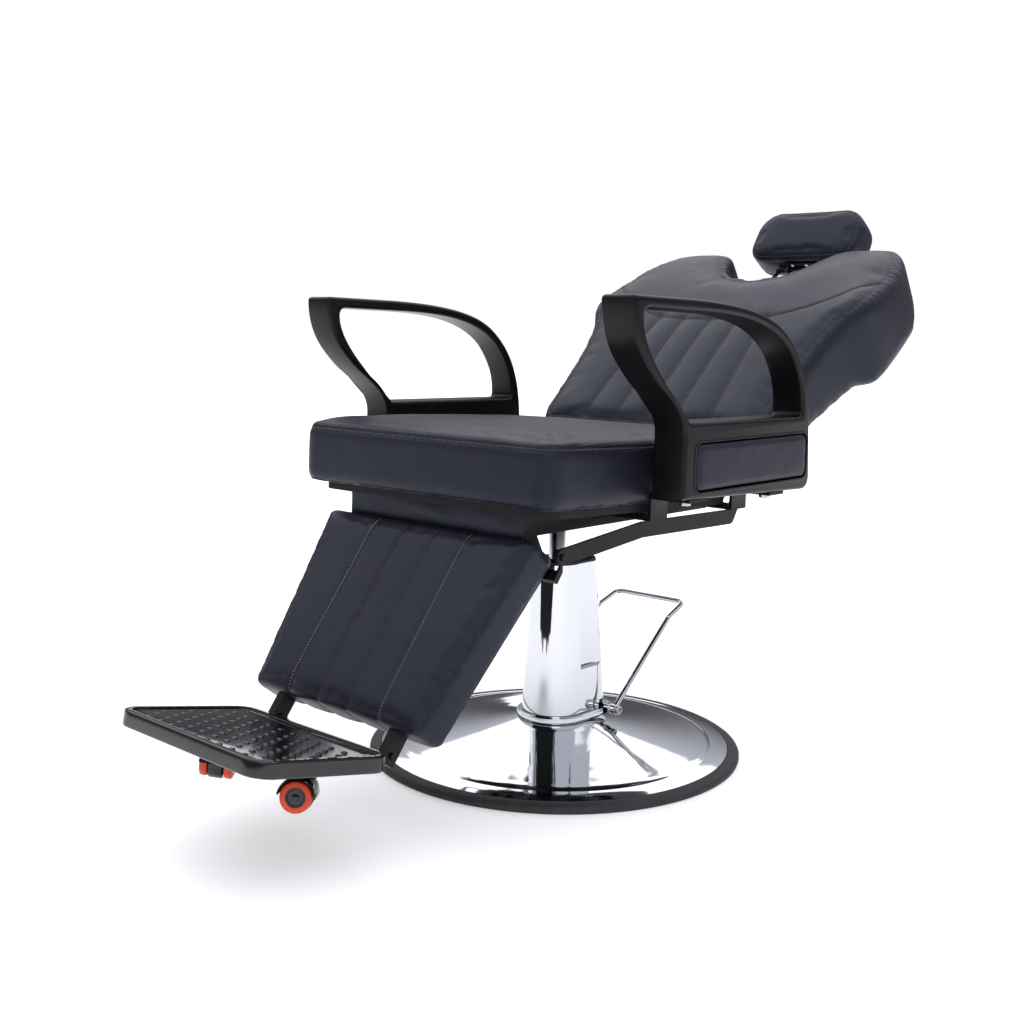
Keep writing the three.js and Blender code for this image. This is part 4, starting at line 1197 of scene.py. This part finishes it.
class CHAIR_OT_headrest(Step, bpy.types.Operator):
    """Headrest cushion, its bracket and screws, and the rods it slides on"""

    bl_idname = "chair.headrest"
    bl_label = "Headrest"

    def build(self, chair):
        plane = HEAD @ Matrix(((1, 0, 0, 0), (0, 0, 1, 0.003), (0, 1, 0, HEAD_MIDDLE * MM), (0, 0, 0, 1)))
        knots = corner_knots([(-116, -57), (116, -57), (113, 57), (-113, 57)], HEAD_CORNERS)
        pad = slab("headrest_cushion", [knots], 69, 11, plane)
        remesh(pad, 4.5, 2)
        inflate(pad, 4.5)
        iron(pad, 3)
        subdivide(pad)
        outline = knots_line(corner_knots([(-117, 9), (117, 9), (114, 125), (-114, 125)], HEAD_CORNERS), 10)
        border = [Vector((p.x, -200, p.y)) for p in inset_line(outline, 8)]
        girdle = [Vector((p.x * 1.6, 24, HEAD_MIDDLE + (p.y - HEAD_MIDDLE) * 1.6)) for p in outline]
        for loop in (border, girdle):
            loop.append(loop[0])
        skin = Skin(pad, HEAD)
        front, around = skin.lay(border, INTO, 2), self.inwards(skin, girdle)
        groove(pad, HEAD, [places(front)], 2.0, 3.0, 0.3)
        groove(pad, HEAD, [places(around)], 1.7, 3.0, 0.3)
        rumple(pad, HEAD, 0.9, 70, 4.0)
        put(pad, "headrest", "vinyl", ["headrest_pad"])
        skin = Skin(pad, HEAD)
        laid = (skin.lay(border, INTO, 2), self.inwards(skin, girdle))
        seams = combine("headrest_seams", *(skin.thread(line, 1.0, 0.4) for line in laid))
        put(seams, "headrest", "seam_dark")
        refine("black_steel", "headrest", 0.8, "headrest_bracket")
        for side, s in SIDES:
            screw = turned("bracket_screw_" + side, [
                (0, 0), (4.4, 0), (4.6, -0.6), (3.8, -2.0), (1.6, -2.6), (1.4, -1.6), (0, -1.6),
            ], 28, HEAD @ Matrix.Translation((s * 0.016, -0.010, 0.0057)))
            put(screw, "headrest", "steel")
        rods = [
            pipe("rod", [(s * 48, 4, 330), (s * 48, 4, 610), (s * 46, 4, 619.4)], 4, BACK, sides=20) for s in (1, -1)
        ]
        cross = pipe("cross", [(-53, 4, 620), (53, 4, 620)], 5, BACK, sides=20)
        put(combine("headrest_stem", *rods, cross), "headrest_slide", "black_steel", ["headrest_rods"])

    def inwards(self, skin, girdle):
        """The pad's edge, found from a loop outside it."""
        return [skin.drop(p, (-p.x, 0, HEAD_MIDDLE - p.z)) for p in spread_points(girdle, 3)]


# ---------------------------------------------------------------- legrest
LEG_TOP, LEG_FOOT = -31.5, -322.5
HALF_TOP, HALF_FOOT = 209, 172


class CHAIR_OT_legrest(Step, bpy.types.Operator):
    """Legrest pad with four sewn lines, its frame, the footplate tubes and the vinyl flap"""

    bl_idname = "chair.legrest"
    bl_label = "Legrest"

    def build(self, chair):
        corners = [(-HALF_FOOT, LEG_FOOT), (HALF_FOOT, LEG_FOOT), (HALF_TOP, LEG_TOP), (-HALF_TOP, LEG_TOP)]
        plane = LEG @ Matrix(((1, 0, 0, 0), (0, 0, 1, 0.0125), (0, 1, 0, 0), (0, 0, 0, 1)))
        pad = slab("legrest_cushion", [corner_knots(corners, [6, 6, 6, 6])], 52, 5, plane)
        remesh(pad, 5, 1)
        swell(pad, 2.5)
        inflate(pad, chair.legrest_swell / MM)
        iron(pad, 2)
        subdivide(pad)
        skin = Skin(pad, LEG)
        lines = {x: [(x, -150, LEG_FOOT + 3), (x, -150, LEG_TOP - 3)] for x in (-93, -31, 31, 93)}
        wrap = []
        for x, line in lines.items():
            ends = [((x, y, z), (0, 0, aim)) for z, aim in ((40, -1), (-420, 1)) for y in np.arange(-6, 34, 2)]
            wrap.append(places(skin.lay(line, INTO, 2) + [skin.drop(*end) for end in ends]))
        groove(pad, LEG, wrap, chair.channel_depth / MM * 0.5, 8.0, 0.1, 24)
        groove(pad, LEG, wrap, 1.6, 2.4, 0.15)
        rumple(pad, LEG, 0.8, 95, 1.0)
        rumple(pad, LEG, 0.3, 26, 9.0)
        put(pad, "legrest", "vinyl_legrest", ["legrest_pad"])
        self.sew(Skin(pad, LEG), lines, chair.stitch_pitch / MM * 0.85)
        dress("lining", "legrest_board")
        refine("black_steel", "legrest", 0.8, "legrest_frame")
        refine("black_steel", "legrest", 1.6, *("footplate_tube_" + side for side, _ in SIDES), segments=3)
        self.flap()

    def sew(self, skin, lines, pitch):
        """A thread in each line and a row of stitches beside it, pale on the two outer lines."""
        seams = [skin.thread(skin.lay(line, INTO, 2), 0.9, 0.45) for line in lines.values()]
        put(combine("legrest_seams", *seams), "legrest", "seam_dark")
        rows = {"light": [], "dark": []}
        for x, line in lines.items():
            beside = [(x + math.copysign(2.6, x), y, z) for _, y, z in line]
            row = skin.stitches(skin.lay(beside, INTO, pitch), 3.0, 0.55, 0.15)
            rows["light" if abs(x) > 60 else "dark"].append(row)
        for tone, made in rows.items():
            put(combine("legrest_stitches_" + tone, *made), "legrest", "seam_" + tone)

    def flap(self):
        """A strip of vinyl that hangs between the seat's front edge and the legrest."""
        low, high, half = 391.0, 431.0, 178.0
        bm = bmesh.new()
        bmesh.ops.create_grid(bm, x_segments=120, y_segments=14, size=0.5)
        bmesh.ops.scale(bm, vec=(half * 2, high - low, 1), verts=bm.verts)
        bmesh.ops.rotate(bm, matrix=Matrix.Rotation(math.pi / 2, 3, "X"), verts=bm.verts)
        bmesh.ops.translate(bm, vec=(0, -277, (low + high) / 2), verts=bm.verts)
        for v in bm.verts:
            hang = math.sin(math.pi * (v.co.z - low) / (high - low))
            v.co.y += 2.4 * hang * noise.noise(Vector((v.co.x / 62, v.co.z / 40, 2.0))) - 1.2 * hang
        sheet = mesh_object("flap", bm, crease=80)
        wall = sheet.modifiers.new("Cloth", "SOLIDIFY")
        wall.thickness = 1.0 * MM
        wall.offset = 0
        apply_modifiers(sheet)
        sheet.data.materials.clear()
        sheet.data.materials.append(LOOKS["vinyl_legrest"])
        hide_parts("legrest_flap")
        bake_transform(sheet)


# ---------------------------------------------------------------- footplate
class CHAIR_OT_footplate(Step, bpy.types.Operator):
    """Glossy footplate with raised studs, and its frame"""

    bl_idname = "chair.footplate"
    bl_label = "Footplate"

    def build(self, chair):
        mid_y = -129.0

        def on_plate(z):
            return PLATE @ Matrix.Translation((0, mid_y * MM, z * MM))

        tray = slab("footplate_shell", [rect_knots(0, 0, 310, 215, 30)], 22, 3.2, on_plate(-3.4), steps=4)
        deck = slab("deck_way", [rect_knots(0, 0, 292, 197, 21)], 8, 0.8, on_plate(9.1))
        hollow = slab("hollow", [rect_knots(0, 0, 303, 208, 26)], 30, 0.5, on_plate(-13.5))
        ways = [block("way", (s * 95 - 16, -34, -20), (s * 95 + 16, 6, 1.5), PLATE) for s in (1, -1)]
        carve(tray, deck, hollow, *ways)
        soften(tray, 0.5, 2, 45)
        bm = bmesh.new()
        for row in range(9):
            for column in range(11):
                x = -130 + column * 26 + (13 if row % 2 else 0)
                y = -89 + row * 20.5
                if abs(x) > 134 or y > 70 or (abs(x) > 120 and abs(y) > 78):
                    continue
                made = bmesh.ops.create_uvsphere(bm, u_segments=16, v_segments=8, radius=1.0)
                bmesh.ops.scale(bm, vec=(4.3, 4.8, 1.5), verts=made["verts"])
                bmesh.ops.translate(bm, vec=(x, y, 0), verts=made["verts"])
        studs = mesh_object("studs", bm, on_plate(5.0), crease=60)
        slots = [slab("slot", [rect_knots(s * 68, 86, 108, 9, 4.2)], 1.4, 0.5, on_plate(5.4)) for s in (1, -1)]
        shell = combine("footplate_shell", tray, studs, *slots)
        put(shell, "footplate", "gloss", ["footplate_tray"])
        refine("black_steel", "footplate", 1.0, "footplate_frame")


class CHAIR_OT_casters(Step, bpy.types.Operator):
    """Twin-wheel casters under the footplate"""

    bl_idname = "chair.casters"
    bl_label = "Casters"

    def build(self, chair):
        for side, s in SIDES:
            place = PLATE @ Matrix.Translation((s * 0.095, -0.102, 0)) @ Matrix.Rotation(
                math.radians(CASTER_TURN[side]), 4, "Z")
            axle = place @ along_x(0, -14, -54)
            self.hood(side, place, axle)
            hubs = []
            for mid, out in ((-16.5, -1), (16.5, 1)):
                hubs.append(turned("hub", [
                    (3, -5.4), (12.2, -5.4), (12.5, -5), (12.5, 5), (12.2, 5.4), (10.6, 5.4), (9.8, 4.2), (4.8, 4.2),
                    (4.2, 5.8), (0, 6.2), (0, -5.4),
                ], 40, axle @ Matrix.Translation((0, 0, mid * MM)) @ Matrix.Diagonal((1, 1, out, 1))))
            hubs.append(turned("shaft", disc_profile(3, -16.5, 16.5, 0.4), 20, axle))
            put(combine("caster_hub_pair_" + side, *hubs), "caster_wheels_" + side, "gloss",
                ["caster_hubs_" + side])
            for where, mid in (("a", -16.5), ("b", 16.5)):
                tyre = turned(f"tyre_{side}_{where}", [
                    (12.8, -5.5), (17.4, -5.5), (19.2, -4.8), (20.2, -3.2), (20.5, 0), (20.2, 3.2), (19.2, 4.8),
                    (17.4, 5.5), (12.8, 5.5),
                ], 56, axle @ Matrix.Translation((0, 0, mid * MM)))
                put(tyre, "caster_wheels_" + side, "tyre", [f"caster_tyre_{side}_{where}"])

    def hood(self, side, place, axle):
        """A half shell over both wheels, the web between them and the swivel stem."""
        bm = bmesh.new()
        section = [(21.6, -21), (22.6, -22), (24, -21.6), (24.5, -20), (24.5, 20), (24, 21.6), (22.6, 22), (21.6, 21)]
        verts = [bm.verts.new((r, 0, x)) for r, x in section]
        edges = [bm.edges.new(pair) for pair in zip(verts, verts[1:] + verts[:1])]
        face = bmesh.ops.contextual_create(bm, geom=edges)["faces"]
        bmesh.ops.spin(
            bm, geom=face, cent=(0, 0, 0), axis=(0, 0, 1), dvec=(0, 0, 0), angle=math.radians(176), steps=40,
            use_merge=False, use_duplicate=False,
        )
        bmesh.ops.rotate(bm, matrix=Matrix.Rotation(math.radians(92), 3, "Z"), verts=bm.verts)
        shell = mesh_object("shell", bm, axle)
        web = turned("web", disc_profile(21.5, -9.5, 9.5, 1.5), 40, axle)
        stem = turned("stem", disc_profile(6, -44, -12.3, 0.5), 32, place)
        flange = turned("flange", disc_profile(13, -16.3, -12.3, 0.8), 40, place)
        neck = block("neck", (-9.5, -22, -40), (9.5, 5, -26), place, 1.5)
        hood = combine("caster_hood_shell_" + side, shell, web, stem, flange, neck)
        put(hood, "caster_" + side, "gloss", ["caster_hood_" + side])


# ---------------------------------------------------------------- stage
CAMERA_PLACE = Vector((1.3080, -1.5286, 0.6801))
CAMERA_YAW, CAMERA_PITCH, CAMERA_ROLL = 42.65, 8.27, 0.79
CAMERA_LENS = 44.64


class CHAIR_OT_studio(Step, bpy.types.Operator):
    """Pale floor, soft white light and the camera"""

    bl_idname = "chair.studio"
    bl_label = "Studio"

    def plain(self, name, colour, rough):
        look = Look(name)
        patch = look.noise(2, 2)
        look.colour(patch, [c * 0.995 for c in colour], colour)
        look.shader.inputs["Roughness"].default_value = rough
        look.shader.inputs["Emission Color"].default_value = (1, 1, 1, 1)
        look.shader.inputs["Emission Strength"].default_value = 0.32
        return look.material

    def build(self, chair):
        scene = bpy.context.scene
        bm = bmesh.new()
        bmesh.ops.create_grid(bm, x_segments=2, y_segments=2, size=14)
        floor = mesh_object("floor", bm, scale=1)
        floor.data.materials.append(self.plain("floor_white", (0.93, 0.93, 0.935), 0.6))
        scene.world = self.sky()
        scene.view_settings.view_transform = "Standard"
        self.soft_sun("overhead", (-0.25, 0.30, 1.0), 90, 1.5)
        self.lamp("side", (2.6, -2.4, 2.0), (0, 0, 0.5), (1.6, 1.2), 14)
        self.camera(scene)

    def sky(self):
        """A room that is bright overhead and dim at eye level, in front of a white wall."""
        world = bpy.data.worlds.new("studio")
        world.use_nodes = True
        tree = world.node_tree
        shade = tree.nodes["Background"]
        place = tree.nodes.new("ShaderNodeTexCoord")
        split = tree.nodes.new("ShaderNodeSeparateXYZ")
        ramp = tree.nodes.new("ShaderNodeMapRange")
        ramp.interpolation_type = "SMOOTHSTEP"
        ramp.inputs["From Min"].default_value = 0.04
        ramp.inputs["From Max"].default_value = 0.62
        room = tree.nodes.new("ShaderNodeMix")
        room.data_type = "RGBA"
        room.inputs[6].default_value = (0.10, 0.10, 0.11, 1)
        room.inputs[7].default_value = (0.92, 0.93, 1.0, 1)
        path = tree.nodes.new("ShaderNodeLightPath")
        seen = tree.nodes.new("ShaderNodeMix")
        seen.data_type = "RGBA"
        seen.inputs[7].default_value = (1, 1, 1, 1)
        tree.links.new(place.outputs["Generated"], split.inputs[0])
        tree.links.new(split.outputs["Z"], ramp.inputs["Value"])
        tree.links.new(ramp.outputs[0], room.inputs[0])
        tree.links.new(path.outputs["Is Camera Ray"], seen.inputs[0])
        tree.links.new(room.outputs[2], seen.inputs[6])
        tree.links.new(seen.outputs[2], shade.inputs["Color"])
        return world

    def soft_sun(self, name, towards, spread, power):
        light = bpy.data.lights.new(name, "SUN")
        light.angle = math.radians(spread)
        light.energy = power
        obj = bpy.data.objects.new(name, light)
        obj.rotation_euler = Vector(towards).to_track_quat("Z", "Y").to_euler()
        bpy.context.scene.collection.objects.link(obj)

    def lamp(self, name, place, target, size, power):
        light = bpy.data.lights.new(name, "AREA")
        light.shape = "RECTANGLE"
        light.size, light.size_y = size
        light.energy = power
        obj = bpy.data.objects.new(name, light)
        obj.location = place
        obj.rotation_euler = (Vector(target) - Vector(place)).to_track_quat("-Z", "Y").to_euler()
        bpy.context.scene.collection.objects.link(obj)

    def camera(self, scene):
        yaw, pitch, roll = (math.radians(a) for a in (CAMERA_YAW, CAMERA_PITCH, CAMERA_ROLL))
        ahead = Vector((-math.sin(yaw) * math.cos(pitch), math.cos(yaw) * math.cos(pitch), -math.sin(pitch)))
        right = Vector((math.cos(yaw), math.sin(yaw), 0))
        up = right.cross(ahead)
        right, up = (
            right * math.cos(roll) + up * math.sin(roll),
            up * math.cos(roll) - right * math.sin(roll),
        )
        data = bpy.data.cameras.new("camera")
        data.lens = CAMERA_LENS
        data.sensor_width = 36
        data.clip_end = 100
        camera = bpy.data.objects.new("camera", data)
        turn = Matrix((right, up, -ahead)).transposed().to_4x4()
        camera.matrix_world = Matrix.Translation(CAMERA_PLACE) @ turn
        scene.collection.objects.link(camera)
        scene.camera = camera


# ---------------------------------------------------------------- panel and main
STEPS = (
    CHAIR_OT_studio, CHAIR_OT_base, CHAIR_OT_column, CHAIR_OT_pedal, CHAIR_OT_under_seat, CHAIR_OT_arms,
    CHAIR_OT_footplate, CHAIR_OT_casters, CHAIR_OT_seat, CHAIR_OT_back, CHAIR_OT_headrest, CHAIR_OT_legrest,
)


class CHAIR_PT_panel(bpy.types.Panel):
    """Sizes, colours and building steps of the chair"""

    bl_idname = "CHAIR_PT_panel"
    bl_label = "Barber chair"
    bl_space_type = "VIEW_3D"
    bl_region_type = "UI"
    bl_category = "Chair"

    def draw(self, context):
        for name in ChairSettings.__annotations__:
            self.layout.prop(context.scene.barber_chair, name)
        for step in STEPS:
            self.layout.operator(step.bl_idname)


CLASSES = (ChairSettings, *STEPS, CHAIR_PT_panel)


def register():
    for cls in CLASSES:
        bpy.utils.register_class(cls)
    bpy.types.Scene.barber_chair = bpy.props.PointerProperty(type=ChairSettings)


def unregister():
    del bpy.types.Scene.barber_chair
    for cls in reversed(CLASSES):
        bpy.utils.unregister_class(cls)


def main():
    register()
    make_looks(settings())
    for step in STEPS:
        group, name = step.bl_idname.split(".")
        getattr(getattr(bpy.ops, group), name)()


if __name__ == "__main__":
    main()
